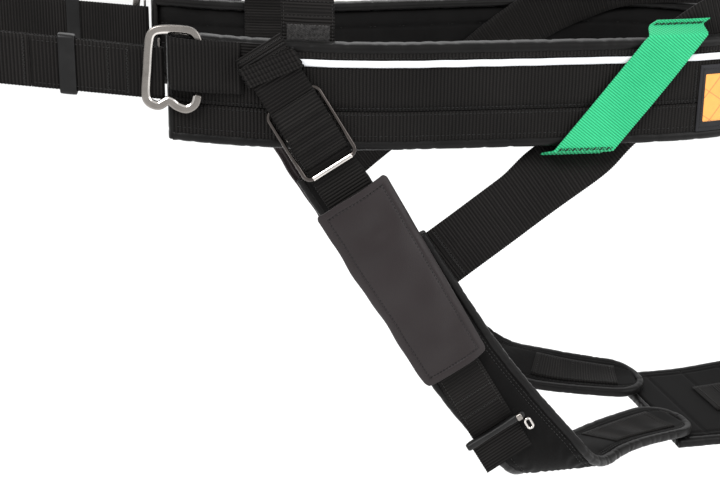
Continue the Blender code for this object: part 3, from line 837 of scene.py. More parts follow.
@dataclass
class Pad:
    """A stuffed pad: swollen flat, carved with its seams, then bent into place."""

    name: str
    length: float
    width: float
    thickness: float
    body: str
    place: Place
    replaced: Sequence[str]
    fill: float = 0.6
    voxel: float = 0.005
    low: float = -1.0
    high: float = 1.0
    carve: Callable[[float, float, float], float] = lambda s, w, n: 0.0
    stuff: Stuff = Stuff.PAD

    def build(self) -> bpy.types.Object:
        bm = bmesh.new()
        bmesh.ops.create_cube(bm, size=1.0)
        size = (self.length, self.width, self.thickness * 0.86)
        bmesh.ops.scale(bm, vec=size, verts=bm.verts)
        bmesh.ops.bevel(bm, geom=bm.edges, offset=self.thickness * 0.3, segments=2,
                        affect="EDGES", profile=0.5, material=-1, offset_type="OFFSET")
        made = finish_object(self.name, bm, self.stuff, self.body, self.replaced)
        self.remesh(made)
        puff(made, self.thickness * AIR_CAP)
        smooth = made.modifiers.new("smooth", "SUBSURF")
        smooth.levels = smooth.render_levels = 1
        settle(made)
        for vert in made.data.vertices:
            s, w, n = vert.co
            n = min(max(n, self.low), self.high)
            n += self.carve(s, w, n)
            vert.co = self.place(s + self.length / 2, w, n)
        outward(made)
        return made

    def remesh(self, made: bpy.types.Object) -> None:
        """Evens out the pad's faces."""
        even = made.modifiers.new("even", "REMESH")
        even.mode = "VOXEL"
        even.voxel_size = self.voxel
        even.use_smooth_shade = True
        settle(made)


def settle(made: bpy.types.Object) -> None:
    """Applies every modifier of a piece to its mesh."""
    dg = bpy.context.evaluated_depsgraph_get()
    mesh = bpy.data.meshes.new_from_object(made.evaluated_get(dg))
    made.modifiers.clear()
    old, made.data = made.data, mesh
    finish = old.materials[0]
    mesh.materials.clear()
    mesh.materials.append(finish)
    bpy.data.meshes.remove(old)
    for face in mesh.polygons:
        face.use_smooth = True


def outward(made: bpy.types.Object) -> None:
    """Turns a closed piece's faces outwards."""
    bm = bmesh.new()
    bm.from_mesh(made.data)
    bmesh.ops.recalc_face_normals(bm, faces=bm.faces)
    bm.to_mesh(made.data)
    bm.free()


def roll(name: str, length: float, half_w: float, half_h: float, place: Place, body: str,
         replaced: Sequence[str], seed: int, count: int, power: float = 2.6,
         crease: float = 0.0007, spacing: float = 0.016) -> bpy.types.Object:
    """A rolled nylon edge, gathered into small creases.

    Args:
        name: the piece's name.
        length: its length.
        half_w: half of its width in the plane of the pad.
        half_h: half of its thickness.
        place: turns (along, across, height) into a world point.
        body: the body it rides on.
        replaced: the plain solids it stands for.
        seed: sets its creases.
        count: segments along it.
        power: squareness of its section.
        crease: depth of its creases.
        spacing: mean distance between creases.

    Returns:
        The new object.
    """
    rng = random.Random(seed)
    folds = []
    at = spacing * 0.4
    while at < length:
        folds.append((at, rng.uniform(-0.5, 0.5), rng.uniform(0.3, 1.0), rng.uniform(1.0, 2.4)))
        at += spacing * rng.uniform(0.5, 1.5)
    starts = [f[0] for f in folds]
    wobble = soft_noise(seed + 1)
    base = oval(half_w, half_h, power)

    def section(s: float, turn: float) -> tuple[float, float]:
        """Half sizes of the section of the rolled edge at a place."""
        across, height = base(s, turn)
        swing = math.sin(2.0 * math.pi * turn)
        near = bisect.bisect_left(starts, s)
        dent = 0.0
        for at, lean, deep, wide in folds[max(near - 2, 0):near + 2]:
            reach = (s - at + lean * 0.008 * swing) / (0.0011 * wide)
            dent += deep * math.exp(-reach * reach)
        shrink = 1.0 - (crease * dent - 0.00025 * wobble(s + 0.01 * swing)) / half_w
        return across * shrink, height * (1.0 - 0.5 * crease * dent / half_h)
    return sweep(name, length, count, 20, section, place, Stuff.BINDING, body, replaced,
                 girth=4.0 * (half_w + half_h) * 0.85)


# ---- the belt ------------------------------------------------------------------------------
@dataclass
class Belt:
    """Padded hip belt: lining, two rows of webbing, rolled edges, stripe and label."""

    surface: BeltSurface
    half_height: float = 0.0415
    inner: float = 0.0356
    face: float = 0.0072
    skin: float = 0.0084
    seam_z: float = -0.0105
    stripe_z: float = 0.0260
    roll_reach: float = 0.0048
    label_front_x: float = 0.1740
    label_half: float = 0.0600
    label_low: float = -0.0335
    label_high: float = 0.0195
    channels: tuple[float, ...] = (-0.020, -0.0015, 0.017)

    def spot(self, reach: float, z: float) -> Place:
        """Places a piece along the belt, centred on its back, at height z."""
        return lambda s, w, n: self.surface.point(s - reach, n, z + w, 1.0)

    def build(self) -> None:
        """Builds every piece of the belt."""
        self.build_pad()
        self.build_facings()
        self.build_edges()
        self.build_stripe()
        for label, side in SIDES:
            self.build_label(label, side)

    def carve(self, s: float, w: float, n: float) -> float:
        """Sewn channels on the lining side."""
        if n > 0.0:
            return 0.0
        dents = sum(math.exp(-((w - z) / 0.0016) ** 2) for z in self.channels)
        ripple = math.sin(s * 310.0 + w * 60.0) * math.sin(s * 83.0 - w * 200.0)
        return 0.0024 * dents * (1.0 + 0.25 * ripple) + 0.0003 * ripple

    def build_pad(self) -> None:
        """The stuffed lining."""
        length = self.surface.length
        Pad("belt_pad_soft", 2 * length - 0.001, 2 * self.inner, 0.0124, HARNESS,
            self.spot(length - 0.0005, 0.0), ("belt_pad",), fill=0.6, voxel=0.005,
            low=-0.0080, high=0.0060, carve=self.carve).build()
        rows = []
        for z in self.channels:
            rows.append([self.surface.point(a, -0.0052, z, 1.0)
                         for a in line_points(-length + 0.004, length - 0.004, 0.0042)])
        stitches("lining_stitches", rows, HARNESS, Stuff.THREAD_GREY, 0.0003)

    def build_facings(self) -> None:
        """The two rows of webbing and the stitches that hold them."""
        length = self.surface.length
        for name, low, high, short in (("upper", self.seam_z + 0.0004, self.inner, 0.0015),
                                       ("lower", -self.inner, self.seam_z - 0.0004, 0.0005)):
            run = length - short
            place = self.spot(run, (low + high) / 2)
            Webbing("belt_webbing_" + name, 2 * run, high - low, HARNESS, Stuff.BELT_WEB,
                    ("belt_facing_" + name,), rib=0.0027, rib_height=0.00026,
                    thickness=0.0013, cross=6, scallop=0.00012).build(
                        lambda s, w, n, place=place: place(s, w, n + self.face))
        rows = []
        for z, step in ((self.seam_z + 0.0026, 0.0034), (self.seam_z - 0.0026, 0.0034),
                        (-0.0296, 0.0040), (0.0302, 0.0040)):
            rows.append([self.surface.point(a, self.face + 0.0009, z, 1.0)
                         for a in line_points(-length + 0.003, length - 0.003, step)])
        stitches("belt_stitches", rows, HARNESS, Stuff.THREAD, 0.00036)

    def build_edges(self) -> None:
        """Rolled nylon along both edges, and the bound front ends."""
        length = self.surface.length
        for name, sign, seed in (("upper", 1.0, 11), ("lower", -1.0, 23)):
            middle = sign * (self.half_height - self.roll_reach)
            place = self.spot(length, middle)
            roll("belt_roll_" + name, 2 * length, self.roll_reach, 0.0083,
                 lambda s, w, n, place=place: place(s, w, n + 0.0006), HARNESS,
                 ("belt_binding_" + name,), seed, 620)
        for label, side in SIDES:
            def end(s: float, w: float, n: float, side: float = side) -> Vector:
                """World point on the bound end."""
                return self.surface.point(length + 0.0004 + w, n + 0.0004,
                                          s - self.half_height + 0.002, side)
            roll("belt_end_roll_" + label, 2 * self.half_height - 0.004, 0.0026, 0.0084, end,
                 HARNESS, (), 31 + int(side), 60, power=2.4)

    def build_stripe(self) -> None:
        """Reflective piping along the upper row."""
        reach = self.surface.arc_at(-0.141)
        place = self.spot(reach, self.stripe_z)
        wobble = soft_noise(5)

        def section(s: float, turn: float) -> tuple[float, float]:
            """Half sizes of the section of the piping at a place."""
            across, height = oval(0.0027, 0.0008, 3.0)(s, turn)
            return across + 0.00022 * wobble(s), height
        sweep("reflective_piping", 2 * reach, 420, 10, section,
              lambda s, w, n: place(s, w, n + self.skin + 0.0005), Stuff.STRIPE, HARNESS,
              ("reflective_stripe",))

    def build_label(self, label: str, side: float) -> None:
        """Woven label: folded frame, plain panel and its stitching."""
        half, height = self.label_half, self.label_high - self.label_low
        middle = (self.label_high + self.label_low) / 2
        centre = self.surface.arc_at(self.label_front_x) - half

        def place(s: float, w: float, n: float) -> Vector:
            """World point on the label."""
            return self.surface.point(centre + s - half, n, middle + w, side)
        base = self.skin + 0.0004

        def shape(s: float, w: float) -> tuple[float, float]:
            """Change of width and height of the label at a place."""
            edge = min(s, 2 * half - s, height / 2 - abs(w))
            fold = 0.00055 * (1.0 - clamp((edge - 0.0048) / 0.0008))
            rounding = 0.0005 * max(0.0, 1.0 - edge / 0.0008) ** 2
            return 1.0, base + fold - rounding + 0.00010 * math.sin(s * 140.0 + w * 90.0)
        bm = grid_piece(160, 60, 2 * half, height, place, shape)
        frame_piece = finish_object("label_border_" + label, bm, Stuff.LABEL, HARNESS,
                                    ("label_frame_" + label,))
        solidify(frame_piece, 0.0007)
        inset = 0.0075
        panel_half, panel_high = half - 0.0045, height / 2 - inset

        def panel(s: float, w: float) -> tuple[float, float]:
            """Change of width and height of the label's panel."""
            edge = min(s, 2 * panel_half - s, panel_high - abs(w))
            return 1.0, base + 0.0007 - 0.0004 * max(0.0, 1.0 - edge / 0.0012) ** 2
        bm = grid_piece(130, 24, 2 * panel_half, 2 * panel_high,
                        lambda s, w, n: place(s + 0.0045, w, n), panel)
        solidify(finish_object("label_insert_" + label, bm, Stuff.PANEL, HARNESS,
                               ("label_panel_" + label,)), 0.0004)
        rows = []
        for w in (-height / 2 + 0.0032, height / 2 - 0.0032):
            rows.append([place(s, w, base + 0.0010)
                         for s in line_points(0.003, 2 * half - 0.003, 0.0024)])
        for start in (0.0026, 2 * half - 0.0026):
            rows.append([place(start + swing, w, base + 0.0010) for w, swing in
                         zigzag(-height / 2 + 0.002, height / 2 - 0.002, 0.0014, 0.0011)])
        rows.append([place(2 * half + 0.0032 + swing, w, self.skin - 0.0002)
                     for w, swing in zigzag(-height / 2, height / 2, 0.0018, 0.0012)])
        stitches("label_stitches_" + label, rows, HARNESS, Stuff.THREAD, 0.00026)


# ---- straps on the belt --------------------------------------------------------------------
@dataclass
class BeltStraps:
    """Riser strap, green keepers, hook tunnels and inner tabs."""

    surface: BeltSurface
    riser_inside: float = -0.0092
    riser_at_band: float = 0.0010
    riser_width: float = 0.050
    green_width: float = 0.038
    green_outside: float = 0.0117
    tunnel_middle: float = 0.01925

    def build(self) -> None:
        """Builds the straps on both sides."""
        self.build_riser()
        for label, side in SIDES:
            self.build_green(label, side)
            self.build_tunnel(label, side)
            self.build_tab(label, side)

    def drape(self, route: Route, offset: Callable[[float], float], side: float) -> Place:
        """Places a strap drawn flat on the belt: route points are (arc, z)."""
        def place(s: float, w: float, n: float) -> Vector:
            """World point on the draped strap."""
            spot = route.at(s) + route.normal(s, 0.004) * w
            return self.surface.point(spot.x, offset(spot.y) + n, spot.y, side)
        return place

    def riser_offset(self, z: float) -> float:
        """Inside the belt, drifting out to the leg band below it."""
        drift = ease(clamp((-0.0470 - z) / 0.022))
        return self.riser_inside + (self.riser_at_band - self.riser_inside) * drift

    def green_offset(self, z: float) -> float:
        """Over the belt's face, in to the riser above and below it."""
        inner = self.riser_offset(z) + 0.0036
        drift = ease(clamp((abs(z) - 0.0433) / 0.0075))
        return self.green_outside + (inner - self.green_outside) * drift

    def build_riser(self) -> None:
        """One floating strap from leg band to leg band, round the back."""
        near = [(-0.0470, -0.1475), (-0.0189, -0.1265), (0.0180, -0.0990), (0.0547, -0.0716),
                (0.0850, -0.0500), (0.1120, -0.0300), (0.1390, -0.0020), (0.1600, 0.0220),
                (0.1780, 0.0360), (0.2000, 0.0470), (0.2300, 0.0580)]
        far = [(-0.0780, -0.1400), (-0.0450, -0.1120), (-0.0050, -0.0820), (0.0400, -0.0520),
               (0.0800, -0.0220), (0.1150, 0.0040), (0.1500, 0.0260), (0.1900, 0.0440),
               (0.2300, 0.0580)]
        back = [(0.070, 0.0660), (0.0, 0.0680), (-0.070, 0.0660)]
        route = Route([(self.surface.arc_at(x), z) for x, z in near] + back
                      + [(-self.surface.arc_at(x), z) for x, z in reversed(far)])
        Webbing("riser_webbing", route.length, self.riser_width, HARNESS,
                replaced=("riser_strap",), rib=0.00176, rib_height=0.00020, cross=10,
                thickness=0.0013, slack=0.00012).build(
                    self.drape(route, self.riser_offset, -1.0))
        rows = []
        place = self.drape(route, self.riser_offset, -1.0)
        for start in (0.010, 0.022, 0.034):
            for end in (start, route.length - start):
                rows.append([place(end + swing, w, 0.0010)
                             for w, swing in zigzag(-0.022, 0.022, 0.0016, 0.0013)])
        stitches("riser_stitches", rows, HARNESS, Stuff.THREAD_GREY, 0.0003)

    def build_green(self, label: str, side: float) -> None:
        """Green keeper with its sewn ends."""
        marks = [(0.0770, -0.0505), (0.0810, -0.0447), (0.1127, -0.0048), (0.1402, 0.0302),
                 (0.1525, 0.0450), (0.1660, 0.0540)]
        route = Route([(self.surface.arc_at(x), z) for x, z in marks])
        steep = (route.at(0.6 * route.length) - route.at(0.4 * route.length)).normalized()
        half = self.green_width / 2
        slant = steep.x / -steep.y

        def place(s: float, w: float, n: float) -> Vector:
            """World point on the green strap."""
            spot = route.at(s) + Vector((w / steep.y, 0.0))
            return self.surface.point(spot.x, self.green_offset(spot.y) + n, spot.y, side)

        def shape(s: float, w: float) -> tuple[float, float]:
            """Change of width and height of the green strap at a place."""
            swing = math.cos(2.0 * math.pi * (s - slant * w) / 0.0019)
            edge = (abs(w) / half) ** 10
            return 1.0 + 0.006 * swing * edge, 0.00020 * swing + 0.00012 * edge
        bm = grid_piece(380, 60, route.length, self.green_width, place, shape)
        uv = bm.loops.layers.uv["flat"]
        for face in bm.faces:
            for loop in face.loops:
                s, w = loop[uv].uv
                loop[uv].uv = (s - slant * (w - half), w)
        solidify(finish_object("green_webbing_" + label, bm, Stuff.GREEN, HARNESS,
                               ("green_keeper_" + label,)), 0.0014)
        rows = []
        for start in (0.0050, 0.0066):
            for end in (start + 0.0042, route.length - start):
                rows.append([place(end + swing, w, 0.0014)
                             for w, swing in zigzag(-0.0172, 0.0172, 0.0009, 0.0022)])
        stitches("green_stitches_" + label, rows, HARNESS, Stuff.THREAD, 0.00055)

    def build_tunnel(self, label: str, side: float) -> None:
        """Webbing folded forwards round the hook's hinge bar and sewn down."""
        near, far = 0.0097, 0.0179
        back, front = self.surface.arc_at(-0.1930), self.surface.arc_at(-0.2345)
        route = Route([(back - 0.012, near), (back + 0.012, near), (front - 0.006, near),
                       (front - 0.0012, near + 0.0012), (front, (near + far) / 2),
                       (front - 0.0012, far - 0.0012), (front - 0.006, far),
                       (front - 0.018, far), (back + 0.010, far - 0.0030),
                       (back + 0.003, near + 0.0030), (back - 0.003, near + 0.0019),
                       (back - 0.010, near + 0.0019)])

        def place(s: float, w: float, n: float) -> Vector:
            """World point on the hook's tunnel."""
            spot = route.at(s) - route.normal(s) * n
            return self.surface.point(spot.x, spot.y, self.tunnel_middle + w, side)
        Webbing("hook_tunnel_" + label, route.length, 0.0385, HARNESS,
                replaced=("belt_end_loop_" + label,), rib=0.0026, rib_height=0.00024,
                thickness=0.0014, cross=8).build(place)
        rows = []
        for start in (0.0015, 0.0045, 0.0075):
            s = route.length - 0.010 + start
            rows.append([place(s + swing, w, -0.0010)
                         for w, swing in zigzag(-0.0180, 0.0180, 0.0012, 0.0011)])
        stitches("tunnel_stitches_" + label, rows, HARNESS, Stuff.THREAD_GREY, 0.0003)

    def build_tab(self, label: str, side: float) -> None:
        """Inner tab with its loop-pile patch and sewn hem."""
        inside = -0.0089
        rear, front = self.surface.arc_at(-0.111), self.surface.arc_at(-0.151)
        middle, half = (rear + front) / 2, (front - rear) / 2
        route = Route([(-0.020, inside), (0.048, inside), (0.060, inside - 0.002),
                       (0.0740, inside - 0.007)])

        def place(s: float, w: float, n: float) -> Vector:
            """World point on the inner tab."""
            spot = route.at(s)
            return self.surface.point(middle + w, spot.y + n, spot.x, side)
        Webbing("belt_tab_" + label, route.length, 2 * half, HARNESS,
                replaced=("inner_tab_" + label,), rib=0.0022, cross=10,
                thickness=0.0015).build(place)
        patch_half = half - 0.004

        def shape(s: float, w: float) -> tuple[float, float]:
            """Change of width and height of the inner tab at a place."""
            edge = min(s, 0.012 - s, patch_half - abs(w))
            bumps = math.sin(s * 2900.0 + w * 700.0) * math.sin(w * 3100.0 - s * 900.0)
            return 1.0, 0.0013 + 0.00035 * bumps - 0.0005 * max(0.0, 1.0 - edge / 0.001)
        bm = grid_piece(24, 72, 0.012, 2 * patch_half,
                        lambda s, w, n: place(s + 0.0600, w, n), shape)
        solidify(finish_object("tab_pile_" + label, bm, Stuff.PILE, HARNESS,
                               ("tab_pile_patch_" + label,)), 0.0006)
        rows = [[place(s, w, 0.0009) for w in line_points(-half + 0.003, half - 0.003, 0.003)]
                for s in (0.0790, 0.0900)]
        rows += [[place(s, w, 0.0009) for s in line_points(0.060, 0.092, 0.003)]
                 for w in (-half + 0.0016, half - 0.0016)]
        stitches("tab_stitches_" + label, rows, HARNESS, Stuff.THREAD_GREY, 0.0003)


# ---- leg loop ------------------------------------------------------------------------------
@dataclass
class LegLoop:
    """One leg: strap, slide, cover, buckle and padded band."""

    label: str
    side: float
    leg: LegLine
    belt: BeltSurface
    band: BandSurface
    strap_width: float = 0.038
    slide_low: float = 0.046
    slide_high: float = 0.109
    slide_half: float = 0.0240
    cover_low: float = 0.133
    cover_high: float = 0.301
    cover_half: float = 0.0296
    buckle_at: float = 0.3667
    band_half: float = 0.0265
    end_reach: float = 0.030

    def name(self, base: str) -> str:
        """A piece or node name with its side."""
        return base + "_" + self.label

    def on_leg(self, s: float, w: float, n: float) -> Vector:
        """World point on this leg's strap."""
        return self.leg.point(s, w, n, self.side)

    def on_band(self, s: float, w: float, n: float) -> Vector:
        """World point on this leg's band."""
        return self.band.point(s, w, n, self.side)

    def build(self) -> None:
        """Builds every piece of the leg loop."""
        self.build_strap()
        self.build_keeper()
        self.build_slide()
        self.build_cover()
        self.build_buckle()
        self.build_band()

    def build_strap(self) -> None:
        """The strap, tucked flat on the belt at its top, and its anchor patch."""
        length = self.buckle_at - 0.002
        Webbing(self.name("leg_webbing"), length, self.strap_width, HARNESS,
                replaced=(self.name("leg_strap"),), rib=0.0025, rib_height=0.00028,
                thickness=0.0013, cross=10).build(
                    lambda s, w, n: self.on_leg(s + 0.001, w, n))
        face = 0.0072 + 0.0008 + 0.0012 + 0.0009

        def anchor(s: float, w: float, n: float) -> Vector:
            """World point on the sewn anchor patch."""
            x = -0.172 + 0.016 * s / 0.030 + w
            arc = self.belt.arc_at(x)
            return self.belt.point(arc, face + n, 0.0385 - 0.026 * s / 0.030, self.side)
        Webbing(self.name("anchor_webbing"), 0.030, 0.033, HARNESS,
                replaced=(self.name("leg_anchor"),), thickness=0.0012).build(anchor)
        rows = []
        for start in (0.004, 0.008, 0.012):
            rows.append([self.on_leg(start + swing, w, 0.0011)
                         for w, swing in zigzag(-0.0175, 0.0175, 0.0011, 0.0012)])
        for w in (-0.0165, 0.0165):
            rows.append([self.on_leg(s, w, 0.0010) for s in line_points(0.300, 0.352, 0.0032)])
        for start in (0.330, 0.345):
            rows.append([self.on_leg(start + swing, w, 0.0011)
                         for w, swing in zigzag(-0.0170, 0.0170, 0.0014, 0.0013)])
        stitches(self.name("leg_stitches"), rows, HARNESS, Stuff.THREAD_GREY, 0.0003)

    def build_keeper(self) -> None:
        """Elastic band round the strap, with raised ribs along it."""
        wide, deep = self.strap_width / 2 + 0.0018, 0.0024
        points = round_frame(wide, deep, 0.0016, 4)
        loop = Loop(points)

        def shape(s: float, w: float) -> tuple[float, float]:
            """Change of width and height of the keeper at a place."""
            return 1.0, 0.0011 * abs(math.cos(math.pi * w / 0.0040)) ** 0.7 - 0.0003

        def place(s: float, w: float, n: float) -> Vector:
            """World point on the keeper."""
            spot = loop.at(s) - loop.normal(s) * n
            return self.on_leg(0.0190 + w + spot.x * 0.18, spot.x, spot.y)
        bm = grid_piece(140, 32, loop.length, 0.016, place, shape)
        bmesh.ops.remove_doubles(bm, verts=bm.verts, dist=MERGE_DISTANCE)
        solidify(finish_object(self.name("keeper_band"), bm, Stuff.WEB, HARNESS,
                               (self.name("strap_keeper"),)), 0.0009)

    def build_slide(self) -> None:
        """Slide bent from steel rod, with its floating friction bar."""
        middle = (self.slide_low + self.slide_high) / 2
        half = (self.slide_high - self.slide_low) / 2
        bar = 0.0020
        tilt = 0.0042 / (half - bar)

        def place(x: float, y: float, h: float) -> Vector:
            """World point on the slide."""
            return self.on_leg(middle + x, y, tilt * x + h)
        # The frame's dark rail steel is a painted dark reflection.
        bar_ring(self.name("slide_frame"), round_frame(half - bar, self.slide_half - bar, 0.0055),
                 oval(0.0015, 0.0012, 2.6), place, Stuff.RAIL, self.name("slide"),
                 (self.name("leg_slide"),), 220, 16)

        def rod(s: float, turn: float) -> tuple[float, float]:
            """Half sizes of the knurled friction bar at a place."""
            ends = min(s, 0.0376 - s) / 0.0010
            full = min(1.0, max(ends, 0.0)) ** 0.5
            knurl = 1.0 + 0.06 * math.cos(2 * math.pi * s / 0.0022)
            across, height = oval(0.0023, 0.0017, 2.4)(s, turn)
            return across * (0.55 + 0.45 * full) * knurl, height * (0.55 + 0.45 * full) * knurl
        sweep(self.name("friction_rod"), 0.0376, 140, 16, rod,
              lambda s, w, n: self.on_leg(middle - 0.006 + w, s - 0.0188, n + 0.0033),
              Stuff.STEEL, self.name("friction_bar_body"), (self.name("friction_bar"),))

        # A bright polished bar laid over the frame's own bottom bar: a painted highlight.
        sweep(self.name("slide_bar"), 0.0340, 60, 18,
              lambda s, turn: oval(0.0020, 0.0016, 2.2)(s, turn),
              lambda s, w, n: place(half - bar + w, s - 0.0170, n), Stuff.POLISHED,
              self.name("slide"))

        def layer(s: float, w: float, n: float) -> Vector:
            """World point on the webbing over the friction bar."""
            rise = ease(clamp((s - 0.050) / 0.013) * clamp((0.101 - s) / 0.020))
            return self.on_leg(s, w, 0.0021 + 0.0042 * rise + n)
        Webbing(self.name("slide_webbing"), 0.0500, self.strap_width - 0.001,
                self.name("friction_bar_body"),
                rib=0.0021, rib_height=0.00024, thickness=0.0011, cross=10).build(
                    lambda s, w, n: layer(s + 0.049, w, n))

    def cover_place(self, s: float, w: float, n: float) -> Vector:
        """World point on the cover: s from its top, w across, n above its cloth."""
        t = s / (self.cover_high - self.cover_low)
        side = max(0.0, -w / self.cover_half) ** 3
        ripple = 0.0006 * math.sin(13.0 * t) + 0.0003 * math.sin(31.0 * t + 1.0)
        out = w * (1.045 - 0.115 * t) + side * ripple
        return self.on_leg(self.cover_low + s, out, self.cover_crown(s, w) + n)

    def cover_crown(self, s: float, w: float) -> float:
        """Height of the cover above the strap."""
        u = w / self.cover_half
        t = s / (self.cover_high - self.cover_low)
        loose = 0.0030 * max(0.0, -u - 0.50) * (0.5 + 0.5 * math.sin(7.0 * t + 0.4))
        corner = math.exp(-((s - 0.004) / 0.012) ** 2 - ((u + 0.8) / 0.25) ** 2)
        dent = (math.exp(-((t - 0.20) / 0.06) ** 2 - ((u - 0.10) / 0.45) ** 2)
                + 0.7 * math.exp(-((t - 0.62) / 0.10) ** 2 - ((u + 0.35) / 0.35) ** 2)
                + 0.6 * math.exp(-((t - 0.80) / 0.05) ** 2 - ((u - 0.40) / 0.40) ** 2))
        waves = 0.0008 * math.sin(s * 150.0 + w * 110.0) * math.sin(s * 47.0 - w * 60.0 + 1.0)
        crown = 0.0082 * max(1.0 - u * u, 0.0) ** 0.7 * (0.7 + 0.3 * math.sin(math.pi * t))
        return 0.0036 + crown + loose + 0.0020 * corner - 0.0030 * dent + waves

    def build_cover(self) -> None:
        """Soft flap sewn along its rear edge, with a hem round it."""
        length = self.cover_high - self.cover_low
        body = self.name("cover")

        def shape(s: float, w: float) -> tuple[float, float]:
            """Change of width and height of the cover at a place."""
            end = max(0.0, 1.0 - min(s, length - s) / 0.004)
            edge = min(s, length - s, self.cover_half - abs(w))
            hem = 0.0005 * (1.0 - clamp((edge - 0.0050) / 0.0010))
            seam = -0.0007 * math.exp(-((edge - 0.0056) / 0.0007) ** 2)
            return 1.0 - 0.055 * end ** 2, hem + seam
        bm = grid_piece(150, 64, length, 2 * self.cover_half, self.cover_place, shape)
        made = finish_object(self.name("cover_flap"), bm, Stuff.COVER, body,
                             (self.name("leg_cover"),))
        solidify(made, 0.0022)
        bevel(made, 0.0007, 3)
        self.name("leg_webbing")
        lift = 0.00125
        rows = [[self.cover_place(s, w, lift) for s in line_points(0.004, length - 0.004, 0.003)]
                for w in (self.cover_half - 0.0062, -self.cover_half + 0.0062)]
        rows += [[self.cover_place(s, w, lift)
                  for w in line_points(-self.cover_half + 0.006, self.cover_half - 0.006, 0.003)]
                 for s in (0.0062, length - 0.0062)]
        rows.append([self.cover_place(s, self.cover_half - 0.0032 + swing, lift)
                     for s, swing in zigzag(0.003, length - 0.003, 0.0012, 0.0014)])
        stitches(self.name("cover_stitches"), rows, body, Stuff.THREAD, 0.00034)

    def build_buckle(self) -> None:
        """Moulded cross bar with its steel oval, and the webbing sewn round it."""
        body = self.name("buckle")
        width = 0.0540

        def section(s: float, turn: float) -> tuple[float, float]:
            """Half sizes of the section of the buckle bar at a place."""
            end = min(s, width - s)
            full = 1.0 - 0.35 * max(0.0, 1.0 - end / 0.0022) ** 2
            waist = 1.0 - 0.16 * math.exp(-((s - width / 2) / 0.014) ** 4)
            grip = 1.0 + 0.035 * math.cos(2 * math.pi * s / 0.0034) * (end > 0.012)
            across, height = oval(0.0031, 0.0029, 2.6)(s, turn)
            return across * full * waist, height * full * grip
        sweep(self.name("buckle_bar"), width, 200, 28, section,
              lambda s, w, n: self.on_leg(self.buckle_at + w, s - width / 2, n + 0.0050),
              Stuff.MOULDED, body, (self.name("leg_buckle"),))
        middle_s, middle_w = self.buckle_at + 0.0105, 0.02625
        points = round_frame(0.0046, 0.0023, 0.0022, 6)
        # The oval is drawn in the bright polished steel: polish plus a painted highlight.
        bar_ring(self.name("buckle_link"), points, oval(0.0011, 0.0016, 2.4),
                 lambda x, y, h: self.on_leg(middle_s + x, middle_w + y, 0.0050 + h),
                 Stuff.POLISHED, body, (self.name("buckle_oval"),), 60, 12)

        def bit(s: float, turn: float) -> tuple[float, float]:
            """Half sizes of the steel bit at a place."""
            end = 1.0 - 0.3 * max(0.0, 1.0 - min(s, 0.0050 - s) / 0.0010) ** 2
            across, height = oval(0.0030, 0.0028, 4.0)(s, turn)
            return across * end, height * end
        sweep(self.name("buckle_bit"), 0.0050, 16, 20, bit,
              lambda s, w, n: self.on_leg(self.buckle_at + w, 0.0195 + s, n + 0.0062),
              Stuff.STEEL, body)
        Webbing(self.name("buckle_loop"), 0.0325, 0.043, HARNESS,
                replaced=(self.name("buckle_webbing"),), rib=0.0025, cross=10,
                thickness=0.0013).build(
                    lambda s, w, n: self.on_leg(self.buckle_at - 0.0005 + s, w - 0.002,
                                                n - 0.0003))

    def tongue(self, s: float) -> float:
        """Share of the band's width at s: it ends in a round tongue."""
        past = (s - self.band.route.length + self.end_reach) / self.end_reach
        return max(1.0 - clamp(past) ** 2, 0.02) ** 0.5

    def carve(self, s: float, w: float, n: float) -> float:
        """Wrinkles across the band where it turns, and its sewn lines."""
        below = self.band.fold_z - self.band.route.at(s + self.band.route.length / 2).y
        turn = math.exp(-((below - 0.027) / 0.035) ** 2)
        creases = math.sin(s * 420.0 + 14.0 * math.sin(w * 90.0)) * turn
        sign = 1.0 if n > 0 else -1.0
        lines = sum(math.exp(-((abs(w) - at) / 0.0011) ** 2) for at in (0.0205,))
        past = clamp((s - 0.5 * self.band.route.length) / 0.10)
        folds = math.sin(s * 330.0 + 3.0 * math.sin(w * 70.0)) * past
        folds += 0.6 * math.sin(s * 710.0 - 5.0 * math.sin(w * 110.0)) * past
        return sign * (0.00055 * creases - 0.0010 * lines + 0.00042 * folds)

    def build_band(self) -> None:
        """Padded band, its bound edges and its stitching."""
        length = self.band.route.length
        Pad(self.name("band_pad"), length - 0.002, 2 * self.band_half + 0.0065, 0.0080, HARNESS,
            lambda s, w, n: self.on_band(s + 0.0005, w * self.tongue(s), n),
            (self.name("leg_band"),), fill=0.5, voxel=0.004, low=-0.0040, high=0.0040,
            carve=self.carve).build()
        reach, start = self.band_half + 0.0018, length - self.end_reach
        for place_name, sign, seed in (("front", -1.0, 41), ("rear", 1.0, 57)):
            curve = [(start * i / 40, reach) for i in range(40)]
            curve += [(start + (self.end_reach - 0.001) * math.sin(math.radians(5 * i)),
                       reach * math.cos(math.radians(5 * i))) for i in range(19)]
            rim = Route(curve, smooth=False)

